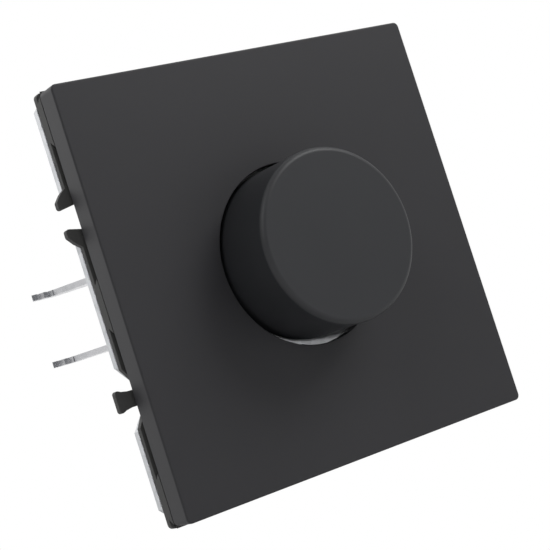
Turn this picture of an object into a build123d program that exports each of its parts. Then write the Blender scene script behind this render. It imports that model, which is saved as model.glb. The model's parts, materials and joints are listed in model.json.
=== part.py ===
from build123d import *
import os
from math import cos, radians, sin

# Flush rotary dimmer: a square cover plate and knob on a wall-box insert.
# X runs right, Z up and Y back into the wall. The origin is the middle of the
# support ring's back face, which lies against the wall. Sizes in millimetres.

# Cover plate
plate_side = 70.0
plate_depth = 4.3
plate_wall = 2.0
plate_skirt = 1.6
plate_corner = 0.9
plate_edge = 0.3
plate_hole = 30.6
plate_drop = 0.4
snap_width = 6.0
snap_thickness = 1.2
snap_barb = 0.6
snap_barb_depth = 0.7
snap_place = 12.0

# Clip frame behind the plate
frame_set_back = 0.1
frame_stand_out = 0.3
frame_depth = 2.5
frame_flange = 1.0
frame_inset = 1.0
frame_corner = 0.8
frame_shadow_gap = 0.45
frame_screw_gap = 0.6
frame_opening_corner = 3.0
frame_pocket_width = 9.0
frame_rim = 1.9
corner_pad = (26.4, 34.6)
middle_pad = (-3.9, 4.9)
pad_slant = 0.9
peg_place = 28.0
peg_diameter = 2.9

# Links at the left and right that join this frame to its neighbour
link_place = 14.7
slot_inset = 2.0
slot_width = 4.5
slot_mouth = 3.2
slot_lead = 0.6
finger_stand = 2.0
finger_tip = 5.7
finger_shoulder = 8.0
finger_root = 9.5
tab_stand = 2.4
tab_neck = 2.6
tab_flare = 3.0
tab_end = 4.0
bay_mouth = 9.5
bay_floor = 3.4
link_round = 0.3
tip_round = 0.45

# Support ring
ring_thickness = 1.2
ring_corner = 2.6
ring_link_gap = 0.4
box_screw_place = 30.0
box_slot_length = 6.0
box_slot_width = 4.2

# Knob
knob_diameter = 28.8
knob_stand = 11.7
knob_sink = 2.8
knob_wall = 1.6
knob_face = 2.0
knob_edge = 0.8
knob_boss = 10.0
knob_boss_depth = 7.6
knob_ribs = 6
knob_rib_width = 1.0
knob_rib_depth = 5.0
grip_depth = 2.0
grip_wire = 0.6
push_travel = 1.5

# Spindle, bush, nut and the clip that keeps the spindle in
spindle_diameter = 6.0
spindle_cut = 1.5
spindle_cut_length = 9.0
spindle_end = 10.2
drive_cut = 0.8
bush_diameter = 10.0
bush_lead = 0.4
bush_reach = 6.2
bush_flange = 13.0
bush_flange_depth = 1.2
nut_flats = 14.0
nut_depth = 2.4
washer_diameter = 18.0
washer_depth = 0.6
washer_teeth = 16
washer_tooth_depth = 1.4
retainer_diameter = 8.0
retainer_depth = 0.5
retainer_groove = 0.6

# Potentiometer
pot_diameter = 17.0
pot_depth = 7.0
pot_wall = 1.2
pot_face = 1.0
rotor_disc = 1.2
rotor_rim = 0.8
rotor_hub = 9.0
rotor_hub_depth = 0.7
wiper_depth = 0.4
wiper_width = 1.6
track_depth = 0.8
leg_pitch = 2.5
leg_width = 1.0
leg_thickness = 0.5

# Push switch behind it
switch_side = 15.0
switch_depth = 5.6
switch_wall = 0.8
plunger_diameter = 8.0
plunger_disc = 0.8
plunger_stem = 2.4
plunger_stem_length = 1.3
bridge_length = 12.0
bridge_width = 3.8
bridge_depth = 0.3
contact_place = 5.0
contact_diameter = 1.4
spring_coil = 2.1
spring_wire = 0.35
spring_turns = 2.0

# Housing
housing_width = 38.8
housing_height = 50.0
housing_depth = 21.4
housing_wall = 1.6
housing_cut = 5.0
cover_wall = 2.0
lip_depth = 2.0
lip_width = 1.2
post_place = (14.2, 20.0)
post_diameter = 5.0
assembly_screw = 2.4
assembly_screw_head = 4.8
assembly_screw_head_depth = 1.6
assembly_screw_length = 14.0

# Board and the parts on it
board_depth = 1.6
board_foot = 14.8
choke_place = (-5.4, 16.4)
core_outer = 11.0
core_inner = 5.2
core_depth = 4.8
winding_depth = 0.8
capacitor_size = (9.6, 6.0, 12.0)
capacitor_place = (6.4, 16.4)
capacitor_edge = 0.6
sink_size = (1.5, 10.0, 24.0)
triac_tab = 1.3
triac_body = (4.5, 9.6, 9.2)
triac_height = 15.7
triac_foot = -8.0
triac_hole_drop = 3.0
triac_screw = 3.0
triac_screw_head = 5.5
triac_screw_head_depth = 1.8
lead_pitch = 2.54
lead_width = 0.7
lead_step = 1.2
fuse_diameter = 5.0
fuse_length = 20.0
fuse_cap = 5.0
fuse_cap_step = 0.15
fuse_x = 12.6
fuse_lift = 1.4
fuse_clip_width = 3.6
fuse_clip_sheet = 0.5
fuse_clip_place = 7.4
fuse_clip_stem = 2.0
fuse_clip_mouth = (3.5, 3.0)
resistor_diameter = 2.2
resistor_waist = 1.8
resistor_length = 5.4
resistor_span = 8.4
resistor_wire = 0.6
resistor_places = ((-4.6, -9.9), (4.6, -9.9), (-4.6, -12.3))
diac_place = (4.6, -12.3)
diac_diameter = 1.8
diac_length = 3.6

# Terminals
terminal_pitch = 8.0
terminal_count = 3
cage_width = 6.4
cage_depth = 7.0
cage_height = 7.0
cage_wall = 1.1
cage_thread_wall = 1.6
terminal_setback = 11.9
cage_lift = 0.8
tab_width = 3.0
tab_thickness = 0.8
tab_overlap = 1.2
wire_entry = 3.6
entry_collar = 6.0
terminal_screw = 3.0
terminal_head = 5.0
terminal_head_depth = 2.0
well_diameter = 5.4
well_floor = 0.4
driver_slot = 0.8
cross_recess = 2.9

# Spreading claws: reaches are measured from the housing's side, depths from the ring
claw_z = 0.6
claw_arm_place = 5.9
claw_sheet = 1.0
claw_web_front = 1.6
claw_pivot_reach = 1.7
claw_pivot_depth = 6.6
claw_pin = 1.8
claw_lever = 3.6
claw_screw = 3.0
claw_screw_head = 4.8
claw_screw_head_depth = 1.6
claw_screw_length = 11.0
claw_nut = (4.0, 3.4, 10.0)
claw_nut_journal = 2.0
claw_fork = 3.8
claw_fork_reach = 3.2
claw_outside = ((7.6, 2.8), (7.6, 8.2), (5.8, 10.4), (5.8, 15.6), (10.4, 22.9), (14.5, 23.0))
claw_inside = ((13.9, 24.4), (9.2, 25.6), (2.8, 20.2), (1.2, 13.0), (0.35, 8.0), (0.35, 5.4), (1.4, 1.6))
claw_tooth_reach = (11.2, 12.9)
claw_tooth = 0.9
lug_reach = 3.0
lug_front = 4.9
lug_back = 8.6

# Clearances
running_gap = 0.05
moving_gap = 0.2
thread_gap = 0.03
nut_play = 0.08
claw_gap = 0.3
past_edge = 1.0

# Places that follow from the sizes
ring_side = plate_side
frame_width = plate_side - 2 * frame_set_back
frame_height = plate_side + 2 * frame_stand_out
frame_side = frame_width / 2
frame_opening = 2 * (post_place[1] + assembly_screw_head / 2 + frame_screw_gap)
pocket_width = frame_width - 2 * frame_rim
pocket_height = frame_height - 2 * (frame_rim + plate_drop)
slot_floor = frame_side - slot_inset
finger_reach = frame_side + finger_stand
tab_reach = frame_side + tab_stand
ring_front = -ring_thickness
flange_front = ring_front - frame_flange
frame_front = ring_front - frame_depth
plate_front = frame_front - plate_depth
plate_inner = plate_front + plate_wall
knob_front = plate_front - knob_stand
knob_inner = knob_front + knob_face
knob_rim = plate_front + knob_sink
boss_rim = knob_inner + knob_boss_depth
washer_front = ring_front - washer_depth
pot_back = cover_wall + pot_depth
bush_back = cover_wall + bush_flange_depth
retainer_front = bush_back + moving_gap / 2
track_front = pot_back - track_depth
switch_back = pot_back + switch_depth
switch_floor = switch_back - switch_wall
plunger_back = spindle_end + plunger_disc
bridge_back = plunger_back + bridge_depth
board_back = switch_back + board_depth
inner_x = housing_width / 2 - housing_wall
inner_z = housing_height / 2 - housing_wall
inner_back = housing_depth - housing_wall
cage_front = housing_depth - terminal_setback
claw_pivot = housing_width / 2 + claw_pivot_reach
claw_screw_place = claw_pivot + claw_lever
spindle_radius = spindle_diameter / 2
rotor_front = retainer_front + retainer_depth + push_travel + 2 * moving_gap
rotor_back = rotor_front + rotor_disc
drive_start = rotor_front - push_travel - moving_gap

os.makedirs("parts", exist_ok=True)


def facing(y):
    """Upright plane at depth y as seen from the front: local x right, local y up."""
    return Plane(origin=(0, y, 0), x_dir=(1, 0, 0), z_dir=(0, -1, 0))


def side_face(turn, reach):
    """Plane of one of the clip frame's four sides: local x along the side, local y back."""
    angle = radians(90 * turn)
    outward = Vector(-cos(angle), 0, sin(angle))
    middle = outward * reach - Vector(0, 0, plate_drop)
    return Plane(origin=middle, x_dir=(sin(angle), 0, cos(angle)), z_dir=outward)


def finger_outline():
    """Outline of a pair of link fingers on the left side, without the slot."""
    shoulder = (frame_side + finger_reach) / 2
    return (
        (-frame_side + frame_inset, link_place + finger_root / 2),
        (-frame_side, link_place + finger_root / 2),
        (-shoulder, link_place + finger_shoulder / 2),
        (-finger_reach, link_place + finger_tip / 2),
        (-finger_reach, link_place - finger_tip / 2),
        (-shoulder, link_place - finger_shoulder / 2),
        (-frame_side, link_place - finger_root / 2),
        (-frame_side + frame_inset, link_place - finger_root / 2),
    )


def slot_outline(grow=0.0):
    """Outline of the slot between the fingers, open at the tips."""
    beyond = finger_reach + past_edge
    return (
        (-beyond, link_place + slot_mouth / 2 + grow),
        (-finger_reach + slot_lead, link_place + slot_mouth / 2 + grow),
        (-slot_floor + grow, link_place + slot_width / 2 + grow),
        (-slot_floor + grow, link_place - slot_width / 2 - grow),
        (-finger_reach + slot_lead, link_place - slot_mouth / 2 - grow),
        (-beyond, link_place - slot_mouth / 2 - grow),
    )


def bay_outline(grow=0.0):
    """Outline of the splayed bay that takes the neighbour's fingers."""
    return (
        (-frame_side - past_edge, -link_place + bay_mouth / 2 + grow),
        (-frame_side, -link_place + bay_mouth / 2 + grow),
        (-slot_floor + grow, -link_place + bay_floor / 2 + grow),
        (-slot_floor + grow, -link_place - bay_floor / 2 - grow),
        (-frame_side, -link_place - bay_mouth / 2 - grow),
        (-frame_side - past_edge, -link_place - bay_mouth / 2 - grow),
    )


def tab_outline():
    """Outline of the tab that stands in the bay, flaring faster towards its end."""
    waist = (slot_floor + tab_reach) / 2
    flare = (waist + tab_reach) / 2
    root = slot_floor - tab_neck / 4
    return (
        (-root, -link_place + tab_neck / 2),
        (-waist, -link_place + tab_neck / 2),
        (-flare, -link_place + tab_flare / 2),
        (-tab_reach, -link_place + tab_end / 2),
        (-tab_reach, -link_place - tab_end / 2),
        (-flare, -link_place - tab_flare / 2),
        (-waist, -link_place - tab_neck / 2),
        (-root, -link_place - tab_neck / 2),
    )


# Cover plate: a shallow moulded tray with a round hole and four snap tongues
snap_face = frame_opening / 2 - moving_gap
with BuildPart() as cover_plate:
    with BuildSketch(facing(frame_front)):
        with Locations((0, -plate_drop)):
            RectangleRounded(plate_side, plate_side, plate_corner)
    extrude(amount=plate_depth)
    fillet(cover_plate.faces().sort_by(Axis.Y)[0].edges(), plate_edge)
    with BuildSketch(facing(frame_front)):
        with Locations((0, -plate_drop)):
            Rectangle(plate_side - 2 * plate_skirt, plate_side - 2 * plate_skirt)
    extrude(amount=plate_depth - plate_wall, mode=Mode.SUBTRACT)
    with BuildSketch(facing(plate_inner)):
        with Locations((0, -plate_drop)):
            Circle(plate_hole / 2)
    extrude(amount=2 * plate_wall, mode=Mode.SUBTRACT)
    for side in (-1, 1):
        with BuildSketch(facing(plate_inner)):
            with Locations((side * (snap_face - snap_thickness / 2), snap_place),
                           (side * (snap_face - snap_thickness / 2), -snap_place)):
                Rectangle(snap_thickness, snap_width)
        extrude(amount=-(ring_front - moving_gap - plate_inner))
        barb = snap_thickness + snap_barb
        with BuildSketch(facing(ring_front - moving_gap)):
            with Locations((side * (snap_face + snap_barb - barb / 2), snap_place),
                           (side * (snap_face + snap_barb - barb / 2), -snap_place)):
                Rectangle(barb, snap_width)
        extrude(amount=snap_barb_depth)
cover_plate.part.label = "cover_plate"
export_step(cover_plate.part, "parts/cover_plate.step")

# Clip frame: flange with the links, a set-back riser under the plate, flush pads
with BuildPart() as clip_frame:
    with BuildSketch(facing(ring_front)) as flange_shape:
        with Locations((0, -plate_drop)):
            RectangleRounded(frame_width, frame_height, frame_corner)
        with PolarLocations(0, 2):
            Polygon(*finger_outline())
            Polygon(*slot_outline(), mode=Mode.SUBTRACT)
            Polygon(*bay_outline(), mode=Mode.SUBTRACT)
            Polygon(*tab_outline())
        tips = flange_shape.vertices().filter_by(lambda v: abs(v.X) > finger_reach - slot_lead / 2)
        fillet(tips, tip_round)
        shoulders = flange_shape.vertices().filter_by(
            lambda v: frame_side + link_round < abs(v.X) < finger_reach - slot_lead / 2 - link_round
        )
        fillet(shoulders, link_round)
    extrude(amount=frame_flange)
    with BuildSketch(facing(flange_front)):
        with Locations((0, -plate_drop)):
            Rectangle(frame_width - 2 * frame_inset, frame_height - 2 * frame_inset)
        with PolarLocations(0, 2):
            Polygon(*slot_outline(), mode=Mode.SUBTRACT)
            Polygon(*bay_outline(), mode=Mode.SUBTRACT)
    extrude(amount=frame_depth - frame_flange)
    pad_depth = frame_depth - frame_flange - frame_shadow_gap
    for turn in range(4):
        reach = frame_height / 2 if turn % 2 else frame_side
        with BuildSketch(side_face(turn, reach)):
            for low, high in (corner_pad, middle_pad, (-corner_pad[1], -corner_pad[0])):
                Polygon(
                    (low + pad_slant, flange_front),
                    (low, flange_front - pad_depth),
                    (high, flange_front - pad_depth),
                    (high - pad_slant, flange_front),
                )
        extrude(amount=-frame_inset)
    with BuildSketch(facing(ring_front)):
        RectangleRounded(frame_opening, frame_opening, frame_opening_corner)
        Rectangle(pocket_width, frame_pocket_width)
        Rectangle(frame_pocket_width, pocket_height)
    extrude(amount=frame_depth, mode=Mode.SUBTRACT)
    with BuildSketch(facing(ring_front)):
        with GridLocations(frame_opening + snap_barb, 2 * snap_place, 2, 2):
            Rectangle(snap_barb + 2 * moving_gap, snap_width + 4 * moving_gap)
    extrude(amount=snap_barb_depth + 2 * moving_gap, mode=Mode.SUBTRACT)
    with BuildSketch(facing(ring_front)):
        with GridLocations(2 * peg_place, 2 * peg_place, 2, 2):
            Circle(peg_diameter / 2)
    extrude(amount=-ring_thickness)
clip_frame.part.label = "clip_frame"
export_step(clip_frame.part, "parts/clip_frame.step")

# Support ring: one stamped and galvanised sheet
slot_run = box_slot_length - box_slot_width
with BuildPart() as support_ring:
    with BuildSketch(facing(0)) as ring_shape:
        Rectangle(ring_side, ring_side)
        chamfer(ring_shape.vertices(), ring_corner)
        with PolarLocations(0, 2):
            Polygon(*slot_outline(ring_link_gap), mode=Mode.SUBTRACT)
            Polygon(*bay_outline(ring_link_gap), mode=Mode.SUBTRACT)
        with PolarLocations(box_screw_place, 4):
            SlotCenterToCenter(slot_run, box_slot_width, mode=Mode.SUBTRACT)
        Circle(bush_diameter / 2 + moving_gap, mode=Mode.SUBTRACT)
        with GridLocations(2 * peg_place, 2 * peg_place, 2, 2):
            Circle(peg_diameter / 2 + running_gap, mode=Mode.SUBTRACT)
        with GridLocations(2 * post_place[0], 2 * post_place[1], 2, 2):
            Circle(assembly_screw / 2 + moving_gap, mode=Mode.SUBTRACT)
        with Locations((-claw_screw_place, claw_z), (claw_screw_place, claw_z)):
            Circle(claw_screw / 2 + moving_gap, mode=Mode.SUBTRACT)
    extrude(amount=ring_thickness)
support_ring.part.label = "support_ring"
export_step(support_ring.part, "parts/support_ring.step")

# Knob: a hollow cap with a ribbed boss that grips the flatted spindle
with BuildPart() as knob:
    with BuildSketch(facing(knob_rim)):
        Circle(knob_diameter / 2)
    extrude(amount=knob_rim - knob_front)
    fillet(knob.faces().sort_by(Axis.Y)[0].edges(), knob_edge)
    with BuildSketch(facing(knob_rim)):
        Circle(knob_diameter / 2 - knob_wall)
    extrude(amount=knob_rim - knob_inner, mode=Mode.SUBTRACT)
    with BuildSketch(facing(knob_inner + knob_rib_depth)):
        with PolarLocations((knob_boss + knob_diameter) / 4 - knob_wall / 2, knob_ribs):
            Rectangle((knob_diameter - knob_boss) / 2 - knob_wall / 2, knob_rib_width)
    extrude(amount=knob_rib_depth)
    with BuildSketch(facing(boss_rim)):
        Circle(knob_boss / 2)
    extrude(amount=knob_boss_depth)
    with BuildSketch(facing(boss_rim)):
        Circle(knob_boss / 2)
        Circle(knob_boss / 2 - grip_wire, mode=Mode.SUBTRACT)
    extrude(amount=grip_depth, mode=Mode.SUBTRACT)
    with BuildSketch(facing(boss_rim)):
        Circle(spindle_radius + running_gap)
        with Locations((0, 2 * spindle_radius - spindle_cut + running_gap)):
            Rectangle(2 * spindle_diameter, 2 * spindle_radius, mode=Mode.SUBTRACT)
    extrude(amount=knob_boss_depth, mode=Mode.SUBTRACT)
knob.part.label = "knob"
export_step(knob.part, "parts/knob.step")

# Grip ring: a split spring ring round the end of the boss
with BuildPart() as grip_ring:
    with BuildSketch(facing(boss_rim)):
        Circle(knob_boss / 2)
        Circle(knob_boss / 2 - grip_wire, mode=Mode.SUBTRACT)
        with Locations((0, -knob_boss / 2)):
            Rectangle(2 * grip_wire, 4 * grip_wire, mode=Mode.SUBTRACT)
    extrude(amount=grip_depth)
grip_ring.part.label = "grip_ring"
export_step(grip_ring.part, "parts/grip_ring.step")

# Spindle: flatted in front for the knob and behind for the rotor
with BuildPart() as spindle:
    with BuildSketch(facing(spindle_end)):
        Circle(spindle_radius)
    extrude(amount=spindle_end - knob_inner)
    chamfer(spindle.faces().sort_by(Axis.Y)[0].edges(), grip_wire)
    with BuildSketch(facing(knob_inner + spindle_cut_length)):
        with Locations((0, 2 * spindle_radius - spindle_cut)):
            Rectangle(2 * spindle_diameter, 2 * spindle_radius)
    extrude(amount=spindle_cut_length, mode=Mode.SUBTRACT)
    with BuildSketch(facing(spindle_end)):
        with Locations((0, 2 * spindle_radius - drive_cut)):
            Rectangle(2 * spindle_diameter, 2 * spindle_radius)
    extrude(amount=spindle_end - drive_start, mode=Mode.SUBTRACT)
    with BuildSketch(facing(retainer_front + retainer_depth)):
        Circle(spindle_diameter)
        Circle(spindle_radius - retainer_groove, mode=Mode.SUBTRACT)
    extrude(amount=retainer_depth, mode=Mode.SUBTRACT)
spindle.part.label = "spindle"
export_step(spindle.part, "parts/spindle.step")

# Retaining ring in the spindle's groove, behind the bush
with BuildPart() as spindle_retainer:
    with BuildSketch(facing(retainer_front + retainer_depth)):
        Circle(retainer_diameter / 2)
        Circle(spindle_radius - retainer_groove, mode=Mode.SUBTRACT)
        with Locations((0, -spindle_radius)):
            Rectangle(spindle_radius, spindle_diameter, mode=Mode.SUBTRACT)
    extrude(amount=retainer_depth)
spindle_retainer.part.label = "spindle_retainer"
export_step(spindle_retainer.part, "parts/spindle_retainer.step")

# Threaded bush with its flange, washer and nut
with BuildPart() as bush:
    with BuildSketch(facing(bush_back)):
        Circle(bush_flange / 2)
    extrude(amount=bush_flange_depth)
    with BuildSketch(facing(bush_back)):
        Circle(bush_diameter / 2)
    extrude(amount=bush_back + bush_reach)
    chamfer(bush.faces().sort_by(Axis.Y)[0].edges(), bush_lead)
    with BuildSketch(facing(bush_back)):
        Circle(spindle_radius + running_gap)
    extrude(amount=bush_back + bush_reach, mode=Mode.SUBTRACT)
bush.part.label = "bush"
export_step(bush.part, "parts/bush.step")

with BuildPart() as lock_washer:
    with BuildSketch(facing(ring_front)):
        Circle(washer_diameter / 2)
        with PolarLocations(washer_diameter / 2, washer_teeth):
            Rectangle(washer_tooth_depth, washer_tooth_depth, rotation=45, mode=Mode.SUBTRACT)
        Circle(bush_diameter / 2 + moving_gap, mode=Mode.SUBTRACT)
    extrude(amount=washer_depth)
lock_washer.part.label = "lock_washer"
export_step(lock_washer.part, "parts/lock_washer.step")

with BuildPart() as bush_nut:
    with BuildSketch(facing(washer_front)):
        RegularPolygon(nut_flats / 2, 6, major_radius=False)
        Circle(bush_diameter / 2 + thread_gap, mode=Mode.SUBTRACT)
    extrude(amount=nut_depth)
bush_nut.part.label = "bush_nut"
export_step(bush_nut.part, "parts/bush_nut.step")

# Potentiometer cup
with BuildPart() as pot_body:
    with BuildSketch(facing(pot_back)):
        Circle(pot_diameter / 2)
    extrude(amount=pot_depth)
    with BuildSketch(facing(cover_wall)):
        Circle(bush_flange / 2 + running_gap)
    extrude(amount=-bush_flange_depth, mode=Mode.SUBTRACT)
    with BuildSketch(facing(cover_wall)):
        Circle(retainer_diameter / 2 + 3 * moving_gap)
    extrude(amount=-(bush_flange_depth + pot_face), mode=Mode.SUBTRACT)
    with BuildSketch(facing(pot_back)):
        Circle(pot_diameter / 2 - pot_wall)
    extrude(amount=pot_depth - bush_flange_depth - pot_face, mode=Mode.SUBTRACT)
pot_body.part.label = "potentiometer_body"
export_step(pot_body.part, "parts/potentiometer_body.step")

# Rotor: turned by the spindle's flat, which slides through it
rotor_rim_front = bush_back + pot_face + moving_gap / 2
rotor_radius = pot_diameter / 2 - pot_wall - moving_gap
with BuildPart() as rotor:
    with BuildSketch(facing(rotor_back)):
        Circle(rotor_radius)
    extrude(amount=rotor_back - rotor_rim_front)
    with BuildSketch(facing(rotor_front)):
        Circle(rotor_radius - rotor_rim)
    extrude(amount=rotor_front - rotor_rim_front, mode=Mode.SUBTRACT)
    with BuildSketch(facing(rotor_back + rotor_hub_depth)):
        Circle(rotor_hub / 2)
    extrude(amount=rotor_hub_depth)
    with BuildSketch(facing(rotor_back + rotor_hub_depth)):
        Circle(spindle_radius + running_gap)
        with Locations((0, 2 * spindle_radius - drive_cut + running_gap)):
            Rectangle(2 * spindle_diameter, 2 * spindle_radius, mode=Mode.SUBTRACT)
    extrude(amount=rotor_back, mode=Mode.SUBTRACT)
rotor.part.label = "rotor"
export_step(rotor.part, "parts/rotor.step")

# Wiper: a sprung contact strip on the rotor's back that rubs on the track
track_gap = track_front - rotor_back - wiper_depth
with BuildPart() as wiper:
    with BuildSketch(facing(rotor_back + wiper_depth)):
        Circle(rotor_hub / 2 + running_gap + wiper_width)
        Circle(rotor_hub / 2 + running_gap, mode=Mode.SUBTRACT)
    extrude(amount=wiper_depth)
    with BuildSketch(facing(track_front - running_gap)):
        with PolarLocations(rotor_hub / 2 + wiper_width / 2, 3):
            Circle(wiper_width / 4)
    extrude(amount=track_gap - running_gap)
wiper.part.label = "wiper"
export_step(wiper.part, "parts/wiper.step")

# Resistive track: the disc that closes the cup
with BuildPart() as resistive_track:
    with BuildSketch(facing(pot_back)):
        Circle(pot_diameter / 2 - pot_wall)
        Circle(spindle_radius + 2 * moving_gap, mode=Mode.SUBTRACT)
    extrude(amount=track_depth)
resistive_track.part.label = "resistive_track"
export_step(resistive_track.part, "parts/resistive_track.step")

leg_z = -(switch_side / 2 + leg_thickness / 2)
with BuildPart() as pot_legs:
    with BuildSketch(facing(pot_back)):
        with Locations((0, leg_z - moving_gap)):
            with GridLocations(leg_pitch, 1, 3, 1):
                Rectangle(leg_width, leg_thickness)
    extrude(amount=-switch_depth)
pot_legs.part.label = "potentiometer_legs"
export_step(pot_legs.part, "parts/potentiometer_legs.step")

# Push switch: cup, plunger, bridge, posts and return spring
with BuildPart() as switch_case:
    with BuildSketch(facing(switch_back)):
        Rectangle(switch_side, switch_side)
    extrude(amount=switch_depth)
    with BuildSketch(facing(switch_floor)):
        Rectangle(switch_side - 2 * switch_wall, switch_side - 2 * switch_wall)
    extrude(amount=switch_depth - switch_wall, mode=Mode.SUBTRACT)
    with BuildSketch(facing(switch_back)):
        with Locations((-contact_place, 0), (contact_place, 0)):
            Circle(contact_diameter / 2 + running_gap)
    extrude(amount=switch_wall, mode=Mode.SUBTRACT)
switch_case.part.label = "switch_case"
export_step(switch_case.part, "parts/switch_case.step")

with BuildPart() as switch_plunger:
    with BuildSketch(facing(plunger_back)):
        Circle(plunger_diameter / 2)
    extrude(amount=plunger_disc)
    with BuildSketch(facing(plunger_back)):
        Circle(plunger_stem / 2)
    extrude(amount=-plunger_stem_length)
switch_plunger.part.label = "switch_plunger"
export_step(switch_plunger.part, "parts/switch_plunger.step")

with BuildPart() as contact_bridge:
    with BuildSketch(facing(bridge_back)):
        Rectangle(bridge_length, bridge_width)
        Circle(plunger_stem / 2 + running_gap, mode=Mode.SUBTRACT)
    extrude(amount=bridge_depth)
contact_bridge.part.label = "contact_bridge"
export_step(contact_bridge.part, "parts/contact_bridge.step")

post_front = bridge_back + push_travel + running_gap
with BuildPart() as contact_posts:
    with BuildSketch(facing(switch_back)):
        with Locations((-contact_place, 0), (contact_place, 0)):
            Circle(contact_diameter / 2)
    extrude(amount=switch_back - post_front)
contact_posts.part.label = "contact_posts"
export_step(contact_posts.part, "parts/contact_posts.step")

spring_length = switch_floor - bridge_back - spring_wire
spring_start = bridge_back + spring_wire / 2
with BuildPart() as return_spring:
    with BuildLine() as coil:
        Helix(spring_length / spring_turns, spring_length, spring_coil,
              center=(0, spring_start, 0), direction=(0, 1, 0))
    with BuildSketch(Plane(origin=coil.line @ 0, z_dir=coil.line % 0)):
        Circle(spring_wire / 2)
    sweep(is_frenet=True)
return_spring.part.label = "return_spring"
export_step(return_spring.part, "parts/return_spring.step")

# Housing: a flat front cover with a lip, and a deep rear shell
with BuildPart() as housing_cover:
    with BuildSketch(facing(cover_wall)) as cover_shape:
        Rectangle(housing_width, housing_height)
        chamfer(cover_shape.vertices(), housing_cut)
    extrude(amount=cover_wall)
    with BuildSketch(facing(cover_wall)) as lip_shape:
        Rectangle(2 * (inner_x - moving_gap), 2 * (inner_z - moving_gap))
        chamfer(lip_shape.vertices(), housing_cut)
        offset(amount=-lip_width, mode=Mode.SUBTRACT)
    extrude(amount=-lip_depth)
    with BuildSketch(facing(cover_wall)):
        Circle(bush_diameter / 2 + moving_gap)
        with GridLocations(2 * post_place[0], 2 * post_place[1], 2, 2):
            Circle(assembly_screw / 2 + moving_gap)
    extrude(amount=cover_wall, mode=Mode.SUBTRACT)
    with BuildSketch(facing(cover_wall + lip_depth)):
        with GridLocations(2 * post_place[0], 2 * post_place[1], 2, 2):
            Circle(post_diameter / 2 + moving_gap)
    extrude(amount=lip_depth, mode=Mode.SUBTRACT)
housing_cover.part.label = "housing_cover"
export_step(housing_cover.part, "parts/housing_cover.step")

cage_back = cage_front + cage_depth
cage_foot = -inner_z + cage_lift
block_top = cage_foot + cage_height + cage_lift
block_front = cage_back + thread_gap
wire_y = cage_front + cage_wall + (cage_depth - cage_wall - cage_thread_wall) / 2
terminals_wide = terminal_pitch * (terminal_count - 1)
partition = terminal_pitch - cage_width - 2 * moving_gap
bay_width = terminals_wide + cage_width + 2 * moving_gap + 2 * partition
with BuildPart() as housing_shell:
    with BuildSketch(facing(housing_depth)) as shell_shape:
        Rectangle(housing_width, housing_height)
        chamfer(shell_shape.vertices(), housing_cut)
    extrude(amount=housing_depth - cover_wall)
    fillet(housing_shell.faces().sort_by(Axis.Y)[-1].edges(), housing_wall / 2)
    with BuildSketch(facing(inner_back)) as hollow_shape:
        Rectangle(2 * inner_x, 2 * inner_z)
        chamfer(hollow_shape.vertices(), housing_cut)
    extrude(amount=inner_back - cover_wall, mode=Mode.SUBTRACT)
    with BuildSketch(facing(inner_back)):
        with GridLocations(2 * post_place[0], 2 * post_place[1], 2, 2):
            Circle(post_diameter / 2)
    extrude(amount=inner_back - cover_wall)
    with BuildSketch(facing(inner_back)):
        with Locations((0, (block_top - inner_z) / 2)):
            Rectangle(bay_width, block_top + inner_z)
    extrude(amount=inner_back - block_front)
    with BuildSketch(facing(inner_back)):
        with Locations((0, (block_top - inner_z) / 2)):
            with GridLocations(terminal_pitch, 1, terminal_count + 1, 1):
                Rectangle(partition, block_top + inner_z)
    extrude(amount=inner_back - cage_front)
    with BuildSketch(Plane.XY.offset(cage_foot)):
        with Locations((0, wire_y)):
            with GridLocations(terminal_pitch, 1, terminal_count, 1):
                Circle(entry_collar / 2)
    extrude(amount=-cage_lift)
    with BuildSketch(Plane.XY.offset(cage_foot)):
        with Locations((0, wire_y)):
            with GridLocations(terminal_pitch, 1, terminal_count, 1):
                Circle(wire_entry / 2)
    extrude(amount=-(cage_lift + housing_wall), mode=Mode.SUBTRACT)
    well_z = cage_foot + cage_height / 2
    with BuildSketch(facing(housing_depth)):
        with Locations((0, well_z)):
            with GridLocations(terminal_pitch, 1, terminal_count, 1):
                Circle(well_diameter / 2)
    extrude(amount=housing_depth - block_front, mode=Mode.SUBTRACT)
    with BuildSketch(facing(cover_wall)):
        with GridLocations(2 * post_place[0], 2 * post_place[1], 2, 2):
            Circle(assembly_screw / 2 + thread_gap)
    extrude(amount=-(assembly_screw_length - ring_thickness), mode=Mode.SUBTRACT)
    for side in (-1, 1):
        with BuildSketch(facing(lug_back)):
            with Locations((side * (housing_width + lug_reach) / 2, claw_z)):
                Rectangle(lug_reach + running_gap, 2 * (claw_arm_place - claw_sheet / 2 - claw_gap))
        extrude(amount=lug_back - lug_front)
        with BuildSketch(Plane.XY.offset(claw_z)):
            with Locations((side * claw_pivot, claw_pivot_depth)):
                Circle(claw_pin / 2 + thread_gap)
        extrude(amount=claw_arm_place, both=True, mode=Mode.SUBTRACT)
housing_shell.part.label = "housing_shell"
export_step(housing_shell.part, "parts/housing_shell.step")

with BuildPart() as assembly_screws:
    with BuildSketch(facing(ring_front)):
        with GridLocations(2 * post_place[0], 2 * post_place[1], 2, 2):
            Circle(assembly_screw_head / 2)
    extrude(amount=assembly_screw_head_depth)
    with BuildSketch(facing(ring_front)):
        with GridLocations(2 * post_place[0], 2 * post_place[1], 2, 2):
            Circle(assembly_screw / 2)
    extrude(amount=-assembly_screw_length)
    with BuildSketch(facing(ring_front - assembly_screw_head_depth)):
        with GridLocations(2 * post_place[0], 2 * post_place[1], 2, 2):
            Rectangle(cross_recess, driver_slot)
            Rectangle(driver_slot, cross_recess)
    extrude(amount=-driver_slot, mode=Mode.SUBTRACT)
assembly_screws.part.label = "assembly_screws"
export_step(assembly_screws.part, "parts/assembly_screws.step")

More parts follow.
